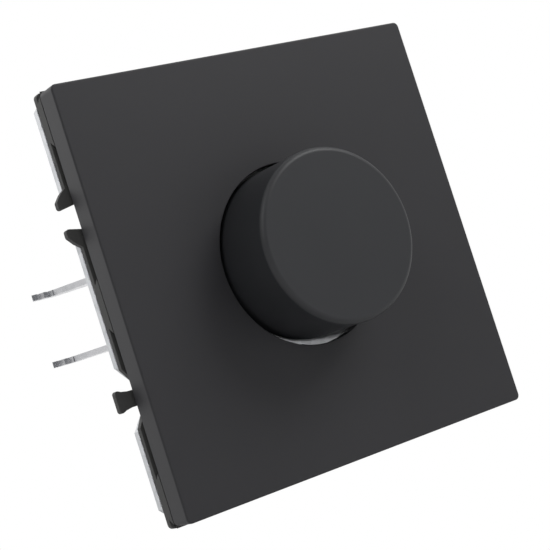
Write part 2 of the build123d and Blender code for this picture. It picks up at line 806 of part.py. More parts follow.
# Circuit board, cut short of the terminals and round the corner posts
board_top = inner_z - moving_gap
with BuildPart() as circuit_board:
    with BuildSketch(facing(board_back)):
        with Locations((0, (board_top - board_foot) / 2)):
            Rectangle(2 * (inner_x - moving_gap), board_top + board_foot)
        with GridLocations(2 * post_place[0], 2 * post_place[1], 2, 2):
            Circle(post_diameter / 2 + moving_gap, mode=Mode.SUBTRACT)
        with GridLocations(2 * inner_x, 2 * board_top, 2, 2):
            Rectangle(2 * housing_cut + post_diameter, 2 * housing_cut, mode=Mode.SUBTRACT)
    extrude(amount=board_depth)
circuit_board.part.label = "circuit_board"
export_step(circuit_board.part, "parts/circuit_board.step")

# Choke: a ring core inside its winding
choke_back = switch_back - running_gap
winding_outer = core_outer + 2 * winding_depth
winding_inner = core_inner - 2 * winding_depth
winding_length = core_depth + 2 * winding_depth
with BuildPart() as choke_core:
    with BuildSketch(facing(choke_back - winding_depth)):
        with Locations(choke_place):
            Circle(core_outer / 2)
            Circle(core_inner / 2, mode=Mode.SUBTRACT)
    extrude(amount=core_depth)
choke_core.part.label = "choke_core"
export_step(choke_core.part, "parts/choke_core.step")

with BuildPart() as choke_winding:
    with BuildSketch(facing(choke_back)):
        with Locations(choke_place):
            Circle(winding_outer / 2)
            Circle(winding_inner / 2, mode=Mode.SUBTRACT)
    extrude(amount=winding_length)
    with BuildSketch(facing(choke_back - winding_depth)):
        with Locations(choke_place):
            Circle(core_outer / 2)
            Circle(core_inner / 2, mode=Mode.SUBTRACT)
    extrude(amount=core_depth, mode=Mode.SUBTRACT)
choke_winding.part.label = "choke_winding"
export_step(choke_winding.part, "parts/choke_winding.step")

with BuildPart() as capacitor:
    with BuildSketch(facing(switch_back)):
        with Locations(capacitor_place):
            Rectangle(capacitor_size[0], capacitor_size[2])
    extrude(amount=capacitor_size[1])
    fillet(capacitor.faces().sort_by(Axis.Y)[0].edges(), capacitor_edge)
capacitor.part.label = "capacitor"
export_step(capacitor.part, "parts/capacitor.step")

# Heat sink against the left wall, with the triac screwed to it
sink_x = -inner_x + sink_size[0]
tab_face = sink_x + triac_tab
screw_z = triac_foot + triac_height - triac_hole_drop
screw_y = switch_back - sink_size[1] / 2
with BuildPart() as heat_sink:
    with BuildSketch(facing(switch_back)):
        with Locations((-inner_x + sink_size[0] / 2, 0)):
            Rectangle(sink_size[0], sink_size[2])
    extrude(amount=sink_size[1])
    with BuildSketch(Plane.YZ.offset(-inner_x)):
        with Locations((screw_y, screw_z)):
            Circle(triac_screw / 2 + thread_gap)
    extrude(amount=sink_size[0], mode=Mode.SUBTRACT)
heat_sink.part.label = "heat_sink"
export_step(heat_sink.part, "parts/heat_sink.step")

with BuildPart() as triac:
    with BuildSketch(Plane.YZ.offset(sink_x)):
        with Locations((screw_y, triac_foot + triac_height / 2)):
            Rectangle(triac_body[1], triac_height)
        with Locations((screw_y, screw_z)):
            Circle(triac_screw / 2 + moving_gap, mode=Mode.SUBTRACT)
    extrude(amount=triac_tab)
    with BuildSketch(Plane.YZ.offset(sink_x)):
        with Locations((screw_y, triac_foot + triac_body[2] / 2)):
            Rectangle(triac_body[1], triac_body[2])
    extrude(amount=triac_body[0])
    lead_x = sink_x + triac_body[0] / 2
    for step in (0, 1, 2):
        lead_y = screw_y + (1 - step) * lead_pitch
        bend_z = triac_foot - (step + 1) * lead_step
        with BuildSketch(Plane.XY.offset(triac_foot)):
            with Locations((lead_x, lead_y)):
                Rectangle(lead_width, lead_width)
        extrude(amount=bend_z - triac_foot)
        with BuildSketch(facing(switch_back)):
            with Locations((lead_x, bend_z + lead_width / 2)):
                Rectangle(lead_width, lead_width)
        extrude(amount=switch_back - lead_y)
triac.part.label = "triac"
export_step(triac.part, "parts/triac.step")

with BuildPart() as triac_fixing:
    with BuildSketch(Plane.YZ.offset(-inner_x)):
        with Locations((screw_y, screw_z)):
            Circle(triac_screw / 2)
    extrude(amount=sink_size[0] + triac_tab)
    with BuildSketch(Plane.YZ.offset(tab_face)):
        with Locations((screw_y, screw_z)):
            Circle(triac_screw_head / 2)
    extrude(amount=triac_screw_head_depth)
triac_fixing.part.label = "triac_screw"
export_step(triac_fixing.part, "parts/triac_screw.step")

# Fuse on the right, in two sprung clips
fuse_y = switch_back - fuse_lift - fuse_diameter / 2
with BuildPart() as fuse:
    with BuildSketch(Plane.XY.offset(-fuse_length / 2)):
        with Locations((fuse_x, fuse_y)):
            Circle(fuse_diameter / 2 - fuse_cap_step)
    extrude(amount=fuse_length)
    for foot in (-fuse_length / 2, fuse_length / 2 - fuse_cap):
        with BuildSketch(Plane.XY.offset(foot)):
            with Locations((fuse_x, fuse_y)):
                Circle(fuse_diameter / 2)
        extrude(amount=fuse_cap)
fuse.part.label = "fuse"
export_step(fuse.part, "parts/fuse.step")

with BuildPart() as fuse_clips:
    for place in (-fuse_clip_place, fuse_clip_place):
        with BuildSketch(Plane.XY.offset(place - fuse_clip_width / 2)):
            with Locations((fuse_x, fuse_y)):
                Circle(fuse_diameter / 2 + running_gap + fuse_clip_sheet)
            with Locations((fuse_x, (fuse_y + switch_back) / 2)):
                Rectangle(fuse_clip_stem, switch_back - fuse_y)
            with Locations((fuse_x, fuse_y)):
                Circle(fuse_diameter / 2 + running_gap, mode=Mode.SUBTRACT)
            with Locations((fuse_x, fuse_y - fuse_diameter / 2)):
                Rectangle(*fuse_clip_mouth, mode=Mode.SUBTRACT)
        extrude(amount=fuse_clip_width)
fuse_clips.part.label = "fuse_clips"
export_step(fuse_clips.part, "parts/fuse_clips.step")


def leaded_part(place, length, diameter, waist):
    """A small part lying on the board, with its two wires bent down to it."""
    x, z = place
    axis_y = switch_back - diameter / 2 - running_gap
    with BuildPart() as body:
        with BuildSketch(Plane.YZ.offset(x - length / 2)):
            with Locations((axis_y, z)):
                Circle(waist / 2)
        extrude(amount=length)
        end = (length - diameter) / 2
        for start in (x - length / 2, x + end):
            with BuildSketch(Plane.YZ.offset(start)):
                with Locations((axis_y, z)):
                    Circle(diameter / 2)
            extrude(amount=length / 2 - end)
        with BuildSketch(Plane.YZ.offset(x - resistor_span / 2)):
            with Locations((axis_y, z)):
                Circle(resistor_wire / 2)
        extrude(amount=resistor_span)
        with BuildSketch(facing(switch_back)):
            with Locations((x, z)):
                with GridLocations(resistor_span, 1, 2, 1):
                    Circle(resistor_wire / 2)
        extrude(amount=switch_back - axis_y)
    return body.part


resistors = Compound(children=[
    leaded_part(place, resistor_length, resistor_diameter, resistor_waist)
    for place in resistor_places
])
resistors.label = "resistors"
export_step(resistors, "parts/resistors.step")

diac = leaded_part(diac_place, diac_length, diac_diameter, diac_diameter)
diac.label = "diac"
export_step(diac, "parts/diac.step")

# Terminals: brass cages that take the wires from below, screwed from behind
with BuildPart() as terminal_cages:
    with BuildSketch(Plane.XY.offset(cage_foot)):
        with Locations((0, cage_front + cage_depth / 2)):
            with GridLocations(terminal_pitch, 1, terminal_count, 1):
                Rectangle(cage_width, cage_depth)
        with Locations((0, wire_y)):
            with GridLocations(terminal_pitch, 1, terminal_count, 1):
                Rectangle(cage_width - 2 * cage_wall, cage_depth - cage_wall - cage_thread_wall,
                          mode=Mode.SUBTRACT)
    extrude(amount=cage_height)
    cage_top = cage_foot + cage_height
    tab_height = tab_overlap - board_foot - cage_top
    with BuildSketch(facing(cage_back)):
        with Locations((0, cage_top + (cage_lift - moving_gap) / 2)):
            with GridLocations(terminal_pitch, 1, terminal_count, 1):
                Rectangle(tab_width, cage_lift - moving_gap)
    extrude(amount=cage_back - switch_back + tab_thickness)
    with BuildSketch(facing(switch_back)):
        with Locations((0, cage_top + tab_height / 2)):
            with GridLocations(terminal_pitch, 1, terminal_count, 1):
                Rectangle(tab_width, tab_height)
    extrude(amount=tab_thickness)
    with BuildSketch(facing(cage_back)):
        with Locations((0, well_z)):
            with GridLocations(terminal_pitch, 1, terminal_count, 1):
                Circle(terminal_screw / 2 + thread_gap)
    extrude(amount=cage_thread_wall, mode=Mode.SUBTRACT)
terminal_cages.part.label = "terminal_cages"
export_step(terminal_cages.part, "parts/terminal_cages.step")

head_front = cage_back + well_floor
with BuildPart() as terminal_screws:
    with BuildSketch(facing(head_front + terminal_head_depth)):
        with Locations((0, well_z)):
            with GridLocations(terminal_pitch, 1, terminal_count, 1):
                Circle(terminal_head / 2)
    extrude(amount=terminal_head_depth)
    with BuildSketch(facing(head_front)):
        with Locations((0, well_z)):
            with GridLocations(terminal_pitch, 1, terminal_count, 1):
                Circle(terminal_screw / 2)
    extrude(amount=cage_thread_wall + well_floor)
    with BuildSketch(facing(head_front + terminal_head_depth)):
        with Locations((0, well_z)):
            with GridLocations(terminal_pitch, 1, terminal_count, 1):
                Rectangle(terminal_head + past_edge, driver_slot)
    extrude(amount=driver_slot, mode=Mode.SUBTRACT)
terminal_screws.part.label = "terminal_screws"
export_step(terminal_screws.part, "parts/terminal_screws.step")


def claw(side):
    """One spreading claw: a web behind the ring and two toothed arms."""
    base = housing_width / 2
    web_back = claw_web_front + claw_sheet
    web_reach = claw_outside[0][0]
    outline = [(web_reach, claw_web_front), *claw_outside, *claw_inside]
    with BuildPart() as body:
        with BuildSketch(Plane.XY.offset(claw_z)):
            Polygon(*[(side * (base + x), y) for x, y in outline])
            with Locations(*[(side * (base + x), claw_outside[-1][1]) for x in claw_tooth_reach]):
                Rectangle(claw_tooth, claw_tooth, rotation=45, mode=Mode.SUBTRACT)
            with Locations((side * claw_pivot, claw_pivot_depth)):
                Circle(claw_pin / 2 + running_gap, mode=Mode.SUBTRACT)
            with Locations((side * claw_screw_place, claw_pivot_depth)):
                Circle(claw_nut_journal / 2 + running_gap, mode=Mode.SUBTRACT)
        extrude(amount=claw_arm_place + claw_sheet / 2, both=True)
        with BuildSketch(Plane.XY.offset(claw_z)):
            with Locations((side * base, web_back + housing_depth)):
                Rectangle(2 * housing_width, 2 * housing_depth)
        extrude(amount=claw_arm_place - claw_sheet / 2, both=True, mode=Mode.SUBTRACT)
        with BuildSketch(facing(web_back)):
            with Locations((side * (base + web_reach), claw_z)):
                SlotOverall(2 * (web_reach - claw_fork_reach), claw_fork)
        extrude(amount=claw_sheet, mode=Mode.SUBTRACT)
    return body.part


def claw_nut_bar(side):
    """The nut bar between a claw's arms, with a round journal in each arm."""
    with BuildPart() as body:
        with BuildSketch(Plane.XY.offset(claw_z)):
            with Locations((side * claw_screw_place, claw_pivot_depth)):
                Rectangle(claw_nut[0], claw_nut[1])
        extrude(amount=claw_nut[2] / 2, both=True)
        with BuildSketch(Plane.XY.offset(claw_z)):
            with Locations((side * claw_screw_place, claw_pivot_depth)):
                Circle(claw_nut_journal / 2)
        extrude(amount=claw_arm_place + claw_sheet / 2, both=True)
        with BuildSketch(facing(claw_pivot_depth + claw_nut[1] / 2)):
            with Locations((side * claw_screw_place, claw_z)):
                Circle(claw_screw / 2 + nut_play)
        extrude(amount=claw_nut[1], mode=Mode.SUBTRACT)
    return body.part


def claw_bolt(side):
    """The screw that draws a claw's nut bar towards the ring and so spreads its arms."""
    place = (side * claw_screw_place, claw_z)
    with BuildPart() as body:
        with BuildSketch(facing(ring_front)):
            with Locations(place):
                Circle(claw_screw_head / 2)
        extrude(amount=claw_screw_head_depth)
        with BuildSketch(facing(ring_front)):
            with Locations(place):
                Circle(claw_screw / 2)
        extrude(amount=-claw_screw_length)
        with BuildSketch(facing(ring_front - claw_screw_head_depth)):
            with Locations(place):
                Rectangle(claw_screw_head + past_edge, driver_slot)
        extrude(amount=-driver_slot, mode=Mode.SUBTRACT)
    return body.part


def pivot_pin(side):
    """The pin that a claw turns on, held in the housing's lug."""
    with BuildPart() as body:
        with BuildSketch(Plane.XY.offset(claw_z)):
            with Locations((side * claw_pivot, claw_pivot_depth)):
                Circle(claw_pin / 2)
        extrude(amount=claw_arm_place + claw_sheet, both=True)
    return body.part


for side, hand in ((-1, "left"), (1, "right")):
    for make, name in ((claw, "claw"), (claw_bolt, "claw_screw"), (claw_nut_bar, "claw_nut"),
                       (pivot_pin, "claw_pin")):
        piece = make(side)
        piece.label = f"{hand}_{name}"
        export_step(piece, f"parts/{hand}_{name}.step")
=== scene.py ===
import bmesh
import bpy
import json
import math
from mathutils import Matrix, Vector


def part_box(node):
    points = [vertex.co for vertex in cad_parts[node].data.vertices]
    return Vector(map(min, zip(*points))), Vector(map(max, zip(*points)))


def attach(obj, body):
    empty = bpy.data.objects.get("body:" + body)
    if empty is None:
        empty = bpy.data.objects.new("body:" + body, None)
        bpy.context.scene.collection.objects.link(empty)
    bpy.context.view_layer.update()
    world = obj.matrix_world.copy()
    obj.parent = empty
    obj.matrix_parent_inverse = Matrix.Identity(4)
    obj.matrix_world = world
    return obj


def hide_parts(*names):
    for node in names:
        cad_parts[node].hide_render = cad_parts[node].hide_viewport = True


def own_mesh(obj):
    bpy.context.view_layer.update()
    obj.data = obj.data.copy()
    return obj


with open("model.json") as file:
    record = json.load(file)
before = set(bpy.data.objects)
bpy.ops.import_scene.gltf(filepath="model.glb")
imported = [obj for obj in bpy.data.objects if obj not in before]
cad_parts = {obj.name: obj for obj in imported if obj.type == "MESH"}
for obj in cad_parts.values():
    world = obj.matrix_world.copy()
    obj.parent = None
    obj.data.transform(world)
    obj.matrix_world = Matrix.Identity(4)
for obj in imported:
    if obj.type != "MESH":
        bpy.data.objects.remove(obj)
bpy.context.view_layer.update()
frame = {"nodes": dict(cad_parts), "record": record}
cadNodes = frame["nodes"]
print("stage: frame loaded with", len(cadNodes), "nodes")


# small helpers for shader trees
def startGroup(title, inputs, outputs):
    tree = bpy.data.node_groups.new(title, "ShaderNodeTree")
    for name, kind, value in inputs:
        socket = tree.interface.new_socket(name=name, in_out="INPUT", socket_type="NodeSocket" + kind)
        socket.default_value = value
    for name, kind in outputs:
        tree.interface.new_socket(name=name, in_out="OUTPUT", socket_type="NodeSocket" + kind)
    return tree, tree.nodes.new("NodeGroupInput"), tree.nodes.new("NodeGroupOutput")


def addNode(tree, kind, **settings):
    node = tree.nodes.new("ShaderNode" + kind)
    for name, value in settings.items():
        setattr(node, name, value)
    return node


def mathNode(tree, operation, first, second=None, clamp=False):
    node = addNode(tree, "Math", operation=operation, use_clamp=clamp)
    for place, value in enumerate((first, second)):
        if value is None:
            continue
        if isinstance(value, (int, float)):
            node.inputs[place].default_value = value
        else:
            tree.links.new(value, node.inputs[place])
    return node.outputs[0]


def mixColors(tree, factor, first, second, blend="MIX"):
    node = addNode(tree, "Mix", data_type="RGBA", blend_type=blend)
    for place, value in ((0, factor), (6, first), (7, second)):
        if hasattr(value, "is_output"):
            tree.links.new(value, node.inputs[place])
        else:
            node.inputs[place].default_value = value
    return node.outputs[2]


def spread(tree, value, low, high):
    node = addNode(tree, "MapRange")
    tree.links.new(value, node.inputs["Value"])
    node.inputs["From Min"].default_value = low
    node.inputs["From Max"].default_value = high
    return node.outputs["Result"]


def noiseAt(tree, vector, scale, detail, rough):
    node = addNode(tree, "TexNoise")
    tree.links.new(vector, node.inputs["Vector"])
    if isinstance(scale, (int, float)):
        node.inputs["Scale"].default_value = scale
    else:
        tree.links.new(scale, node.inputs["Scale"])
    node.inputs["Detail"].default_value = detail
    node.inputs["Roughness"].default_value = rough
    return node.outputs["Fac"]


middleTone = 0.5   # noise and random tones lie about this level


def swingAbout(tree, value, amount):
    return mathNode(tree, "MULTIPLY", mathNode(tree, "SUBTRACT", value, middleTone), amount)


def objectCoords(tree):
    return addNode(tree, "TexCoord").outputs["Object"]


def sendOut(tree, out, values):
    for name, value in values.items():
        tree.links.new(value, out.inputs[name])


# shared surface effects: mottled moulding, worn edges with a painted edge highlight, zinc crystals, drawn
# lines and dust
skinEffect = {"fine": {"detail": 2.0, "rough": 0.6}, "broad": {"scale": 55.0, "detail": 3.0, "rough": 0.5}}


def buildMouldedSkin(v):
    tree, given, out = startGroup(
        "mouldedSkin",
        [("Base", "Color", (0.04, 0.04, 0.04, 1)), ("Grain per metre", "Float", 2600.0),
         ("Mottle", "Float", 0.12), ("Roughness", "Float", 0.5), ("Roughness spread", "Float", 0.06)],
        [("Color", "Color"), ("Roughness", "Float"), ("Height", "Float")])
    coords = objectCoords(tree)
    fine = noiseAt(tree, coords, given.outputs["Grain per metre"], **v["fine"])
    broad = noiseAt(tree, coords, **v["broad"])
    lift = swingAbout(tree, broad, given.outputs["Mottle"])
    speck = swingAbout(tree, fine, given.outputs["Mottle"])
    level = mathNode(tree, "ADD", mathNode(tree, "ADD", lift, speck), 1.0)
    shade = addNode(tree, "CombineColor")
    for channel in shade.inputs:
        tree.links.new(level, channel)
    color = mixColors(tree, 1.0, given.outputs["Base"], shade.outputs[0], "MULTIPLY")
    swing = swingAbout(tree, broad, given.outputs["Roughness spread"])
    roughness = mathNode(tree, "ADD", given.outputs["Roughness"], swing)
    sendOut(tree, out, {"Color": color, "Roughness": roughness, "Height": fine})
    return tree


# edges found through the bevelled normal are lightened in colour: partly wear, partly a painted highlight
# along every rounded edge
edgeWearAndHighlightEffect = {"samples": 4, "radius": 0.0003, "edgeRange": (0.02, 0.2), "brokenRange": (0.35, 0.62),
              "broken": {"scale": 700.0, "detail": 4.0, "rough": 0.6}}


# paints a lighter tone on rounded edges, broken up by noise: worn edges and a painted edge highlight together
def buildEdgeWearAndHighlight(v):
    tree, given, out = startGroup(
        "edgeWearAndHighlight",
        [("Base", "Color", (0.04, 0.04, 0.04, 1)), ("Worn and highlit", "Color", (0.1, 0.1, 0.1, 1)),
         ("Amount", "Float", 0.5)],
        [("Color", "Color"), ("Mask", "Float")])
    coords = objectCoords(tree)
    rounded = addNode(tree, "Bevel", samples=v["samples"])
    rounded.inputs["Radius"].default_value = v["radius"]
    facing = addNode(tree, "NewGeometry")
    dot = addNode(tree, "VectorMath", operation="DOT_PRODUCT")
    tree.links.new(rounded.outputs[0], dot.inputs[0])
    tree.links.new(facing.outputs["Normal"], dot.inputs[1])
    edge = spread(tree, mathNode(tree, "SUBTRACT", 1.0, dot.outputs["Value"]), *v["edgeRange"])
    broken = spread(tree, noiseAt(tree, coords, **v["broken"]), *v["brokenRange"])
    mask = mathNode(tree, "MULTIPLY", mathNode(tree, "MULTIPLY", edge, broken), given.outputs["Amount"], True)
    color = mixColors(tree, mask, given.outputs["Base"], given.outputs["Worn and highlit"])
    sendOut(tree, out, {"Color": color, "Mask": mask})
    return tree


zincEffect = {"cloud": {"scale": 160.0, "detail": 4.0, "rough": 0.6}, "share": 0.5, "roughnessSpread": 0.12,
              "fine": {"scale": 2400.0, "detail": 2.0, "rough": 0.5}}


def buildZincSpangle(v):
    tree, given, out = startGroup(
        "zincSpangle",
        [("Bright", "Color", (0.7, 0.7, 0.72, 1)), ("Dull", "Color", (0.45, 0.46, 0.48, 1)),
         ("Spangles per metre", "Float", 700.0), ("Roughness", "Float", 0.35)],
        [("Color", "Color"), ("Roughness", "Float"), ("Height", "Float")])
    coords = objectCoords(tree)
    cells = addNode(tree, "TexVoronoi", feature="F1")
    tree.links.new(coords, cells.inputs["Vector"])
    tree.links.new(given.outputs["Spangles per metre"], cells.inputs["Scale"])
    tone = addNode(tree, "SeparateColor")
    tree.links.new(cells.outputs["Color"], tone.inputs[0])
    cloud = noiseAt(tree, coords, **v["cloud"])
    blendAmount = mathNode(tree, "ADD", mathNode(tree, "MULTIPLY", tone.outputs[0], v["share"]),
                           mathNode(tree, "MULTIPLY", cloud, v["share"]))
    color = mixColors(tree, blendAmount, given.outputs["Bright"], given.outputs["Dull"])
    swing = swingAbout(tree, tone.outputs[1], v["roughnessSpread"])
    roughness = mathNode(tree, "ADD", given.outputs["Roughness"], swing)
    fine = noiseAt(tree, coords, **v["fine"])
    sendOut(tree, out, {"Color": color, "Roughness": roughness, "Height": fine})
    return tree


lineEffect = {"noise": {"detail": 3.0, "rough": 0.6}, "shadowRange": (0.3, 0.7), "roughnessSpread": 0.2}


def buildDrawnLines(v):
    tree, given, out = startGroup(
        "drawnLines",
        [("Base", "Color", (0.6, 0.6, 0.6, 1)), ("Shadow", "Color", (0.4, 0.4, 0.4, 1)),
         ("Stretch", "Vector", (1.0, 30.0, 1.0)), ("Lines per metre", "Float", 300.0),
         ("Roughness", "Float", 0.3)],
        [("Color", "Color"), ("Roughness", "Float"), ("Height", "Float")])
    coords = objectCoords(tree)
    pull = addNode(tree, "VectorMath", operation="MULTIPLY")
    tree.links.new(coords, pull.inputs[0])
    tree.links.new(given.outputs["Stretch"], pull.inputs[1])
    lines = noiseAt(tree, pull.outputs[0], given.outputs["Lines per metre"], **v["noise"])
    shadow = spread(tree, lines, *v["shadowRange"])
    color = mixColors(tree, shadow, given.outputs["Base"], given.outputs["Shadow"])
    swing = swingAbout(tree, lines, v["roughnessSpread"])
    roughness = mathNode(tree, "ADD", given.outputs["Roughness"], swing)
    sendOut(tree, out, {"Color": color, "Roughness": roughness, "Height": lines})
    return tree


dustEffect = {"patches": {"scale": 210.0, "detail": 5.0, "rough": 0.7}, "patchRange": (0.45, 0.8),
              "specks": {"scale": 3600.0, "detail": 1.0, "rough": 0.5}, "speckRange": (0.66, 0.74),
              "patchShare": 0.5}


def buildSettledDust(v):
    tree, given, out = startGroup(
        "settledDust",
        [("Base", "Color", (0.04, 0.04, 0.04, 1)), ("Dust", "Color", (0.3, 0.29, 0.27, 1)),
         ("Amount", "Float", 0.05)],
        [("Color", "Color"), ("Mask", "Float")])
    coords = objectCoords(tree)
    patches = spread(tree, noiseAt(tree, coords, **v["patches"]), *v["patchRange"])
    specks = spread(tree, noiseAt(tree, coords, **v["specks"]), *v["speckRange"])
    both = mathNode(tree, "ADD", mathNode(tree, "MULTIPLY", patches, v["patchShare"]), specks)
    mask = mathNode(tree, "MULTIPLY", both, given.outputs["Amount"], True)
    color = mixColors(tree, mask, given.outputs["Base"], given.outputs["Dust"])
    sendOut(tree, out, {"Color": color, "Mask": mask})
    return tree


effects = {"skin": buildMouldedSkin(skinEffect), "wearAndHighlight": buildEdgeWearAndHighlight(edgeWearAndHighlightEffect),
           "zinc": buildZincSpangle(zincEffect), "lines": buildDrawnLines(lineEffect),
           "dust": buildSettledDust(dustEffect)}
print("stage: shared effects built")


def placeEffect(tree, name, values):
    node = addNode(tree, "Group", node_tree=effects[name])
    for key, value in values.items():
        if hasattr(value, "is_output"):
            tree.links.new(value, node.inputs[key])
        else:
            node.inputs[key].default_value = value
    return node


def startMaterial(title):
    material = bpy.data.materials.new(title)
    material.use_nodes = True
    tree = material.node_tree
    return material, tree, tree.nodes["Principled BSDF"]


def bumpInto(tree, shader, height, depth, strength):
    bump = addNode(tree, "Bump")
    bump.inputs["Strength"].default_value = strength
    bump.inputs["Distance"].default_value = depth
    tree.links.new(height, bump.inputs["Height"])
    tree.links.new(bump.outputs[0], shader.inputs["Normal"])


def rgba(color):
    return (*color, 1)


def skinOver(tree, base, v):
    return placeEffect(tree, "skin", {"Base": base, "Grain per metre": v["grain"], "Mottle": v["mottle"],
                                      "Roughness": v["rough"]})


# lays the lighter edge tone over rounded edges: partly wear, partly a painted edge highlight
def wornAndHighlitEdges(tree, under, v):
    return placeEffect(tree, "wearAndHighlight", {"Base": under.outputs["Color"], "Worn and highlit": rgba(v["edge"]),
                                      "Amount": v["wearAndHighlight"]})


def colorInto(tree, shader, color, roughness):
    tree.links.new(color, shader.inputs["Base Color"])
    tree.links.new(roughness, shader.inputs["Roughness"])


# kinds of finish that several pieces share, with the strength of their bumps
mouldedBump = 0.6
zincBump = {"depth": 0.00002, "strength": 0.4}
drawnBump = {"depth": 0.00001, "strength": 0.5}


def mouldedPlastic(title, v):
    material, tree, shader = startMaterial(title)
    skin = skinOver(tree, rgba(v["base"]), v)
    wearAndHighlight = wornAndHighlitEdges(tree, skin, v)
    dust = placeEffect(tree, "dust", {"Base": wearAndHighlight.outputs["Color"], "Amount": v["dust"]})
    colorInto(tree, shader, dust.outputs["Color"], skin.outputs["Roughness"])
    shader.inputs["Specular IOR Level"].default_value = v["gloss"]
    bumpInto(tree, shader, skin.outputs["Height"], v["depth"], mouldedBump)
    return material


def zincSheet(title, v):
    material, tree, shader = startMaterial(title)
    zinc = placeEffect(tree, "zinc", {"Bright": rgba(v["bright"]), "Dull": rgba(v["dull"]),
                                      "Spangles per metre": v["spangles"], "Roughness": v["rough"]})
    wearAndHighlight = wornAndHighlitEdges(tree, zinc, v)
    colorInto(tree, shader, wearAndHighlight.outputs["Color"], zinc.outputs["Roughness"])
    shader.inputs["Metallic"].default_value = v["metal"]
    bumpInto(tree, shader, zinc.outputs["Height"], **zincBump)
    return material


def drawnMetal(title, v):
    material, tree, shader = startMaterial(title)
    lines = placeEffect(tree, "lines", {"Base": rgba(v["base"]), "Shadow": rgba(v["shadow"]),
                                        "Stretch": v["stretch"], "Lines per metre": v["lines"],
                                        "Roughness": v["rough"]})
    wearAndHighlight = wornAndHighlitEdges(tree, lines, v)
    colorInto(tree, shader, wearAndHighlight.outputs["Color"], lines.outputs["Roughness"])
    shader.inputs["Metallic"].default_value = 1.0
    bumpInto(tree, shader, lines.outputs["Height"], **drawnBump)
    return material


# moulded pieces first, then zinc plated sheet, then drawn and turned metal
# each "edge" colour is the lighter tone painted on rounded edges, for wear and for a painted edge highlight;
# "wear" sets how much of it shows
platePlastic = {"base": (0.028, 0.0277, 0.0308), "edge": (0.05, 0.05, 0.053), "grain": 3000.0, "mottle": 0.1,
                "rough": 0.52, "gloss": 0.32, "depth": 0.000012, "wearAndHighlight": 0.25, "dust": 0.006}
knobPlastic = {"base": (0.0265, 0.0275, 0.0305), "edge": (0.058, 0.06, 0.063), "grain": 3400.0, "mottle": 0.1,
               "rough": 0.46, "gloss": 0.36, "depth": 0.00001, "wearAndHighlight": 0.3, "dust": 0.006}
framePlastic = {"base": (0.044, 0.044, 0.0433), "edge": (0.062, 0.062, 0.06), "grain": 2600.0, "mottle": 0.2,
                "rough": 0.55, "gloss": 0.26, "depth": 0.00002, "wearAndHighlight": 0.3, "dust": 0.02}
housingPlastic = {"base": (0.045, 0.045, 0.05), "edge": (0.08, 0.08, 0.085), "grain": 1800.0, "mottle": 0.25,
                  "rough": 0.5, "gloss": 0.4, "depth": 0.00003, "wearAndHighlight": 0.3, "dust": 0.02}
coverPlastic = {"base": (0.3, 0.31, 0.32), "edge": (0.42, 0.43, 0.44), "grain": 1800.0, "mottle": 0.12,
                "rough": 0.5, "gloss": 0.4, "depth": 0.00003, "wearAndHighlight": 0.2, "dust": 0.02}
switchPlastic = {"base": (0.52, 0.52, 0.49), "edge": (0.62, 0.62, 0.6), "grain": 2000.0, "mottle": 0.1,
                 "rough": 0.45, "gloss": 0.45, "depth": 0.00002, "wearAndHighlight": 0.2, "dust": 0.01}
potPlastic = {"base": (0.03, 0.045, 0.1), "edge": (0.07, 0.09, 0.16), "grain": 2400.0, "mottle": 0.2,
              "rough": 0.3, "gloss": 0.5, "depth": 0.00001, "wearAndHighlight": 0.2, "dust": 0.01}
triacEpoxy = {"base": (0.022, 0.022, 0.023), "edge": (0.05, 0.05, 0.05), "grain": 5000.0, "mottle": 0.4,
              "rough": 0.62, "gloss": 0.35, "depth": 0.00003, "wearAndHighlight": 0.2, "dust": 0.01}
ferrite = {"base": (0.09, 0.09, 0.1), "edge": (0.14, 0.14, 0.15), "grain": 6000.0, "mottle": 0.5,
           "rough": 0.7, "gloss": 0.3, "depth": 0.00006, "wearAndHighlight": 0.4, "dust": 0.01}

ringZinc = {"bright": (0.56, 0.57, 0.585), "dull": (0.36, 0.37, 0.385), "edge": (0.68, 0.68, 0.7),
            "spangles": 620.0, "rough": 0.4, "metal": 0.65, "wearAndHighlight": 0.4}
clawZinc = {"bright": (0.78, 0.78, 0.8), "dull": (0.58, 0.59, 0.61), "edge": (0.86, 0.86, 0.88),
            "spangles": 900.0, "rough": 0.28, "metal": 0.95, "wearAndHighlight": 0.3}

screwSteel = {"base": (0.66, 0.66, 0.68), "shadow": (0.46, 0.46, 0.48), "edge": (0.8, 0.8, 0.82),
              "stretch": (1.0, 14.0, 1.0), "lines": 500.0, "rough": 0.3, "wearAndHighlight": 0.3}
bushMetal = {"base": (0.66, 0.58, 0.42), "shadow": (0.48, 0.4, 0.26), "edge": (0.8, 0.74, 0.6),
             "stretch": (1.0, 18.0, 1.0), "lines": 500.0, "rough": 0.28, "wearAndHighlight": 0.3}
spindleMetal = {"base": (0.76, 0.76, 0.78), "shadow": (0.6, 0.6, 0.62), "edge": (0.86, 0.86, 0.88),
                "stretch": (1.0, 22.0, 1.0), "lines": 450.0, "rough": 0.3, "wearAndHighlight": 0.3}
springSteel = {"base": (0.5, 0.51, 0.53), "shadow": (0.34, 0.35, 0.37), "edge": (0.66, 0.66, 0.68),
               "stretch": (8.0, 1.0, 8.0), "lines": 400.0, "rough": 0.25, "wearAndHighlight": 0.2}
contactBrass = {"base": (0.72, 0.53, 0.25), "shadow": (0.55, 0.38, 0.15), "edge": (0.85, 0.7, 0.42),
                "stretch": (1.0, 1.0, 16.0), "lines": 420.0, "rough": 0.3, "wearAndHighlight": 0.3}
sinkAluminium = {"base": (0.72, 0.72, 0.74), "shadow": (0.55, 0.55, 0.57), "edge": (0.85, 0.85, 0.87),
                 "stretch": (1.0, 1.0, 26.0), "lines": 320.0, "rough": 0.36, "wearAndHighlight": 0.3}


# finishes of the hidden electrical pieces
boardLaminate = {"mask": (0.03, 0.13, 0.06), "copper": (0.08, 0.22, 0.09), "tracks": 260.0, "gap": 0.06,
                 "rowShift": 0.5, "squash": 1.6, "squashEvery": 3, "grain": 1500.0, "mottle": 0.2,
                 "rough": 0.32, "depth": 0.00004, "bump": 0.6}


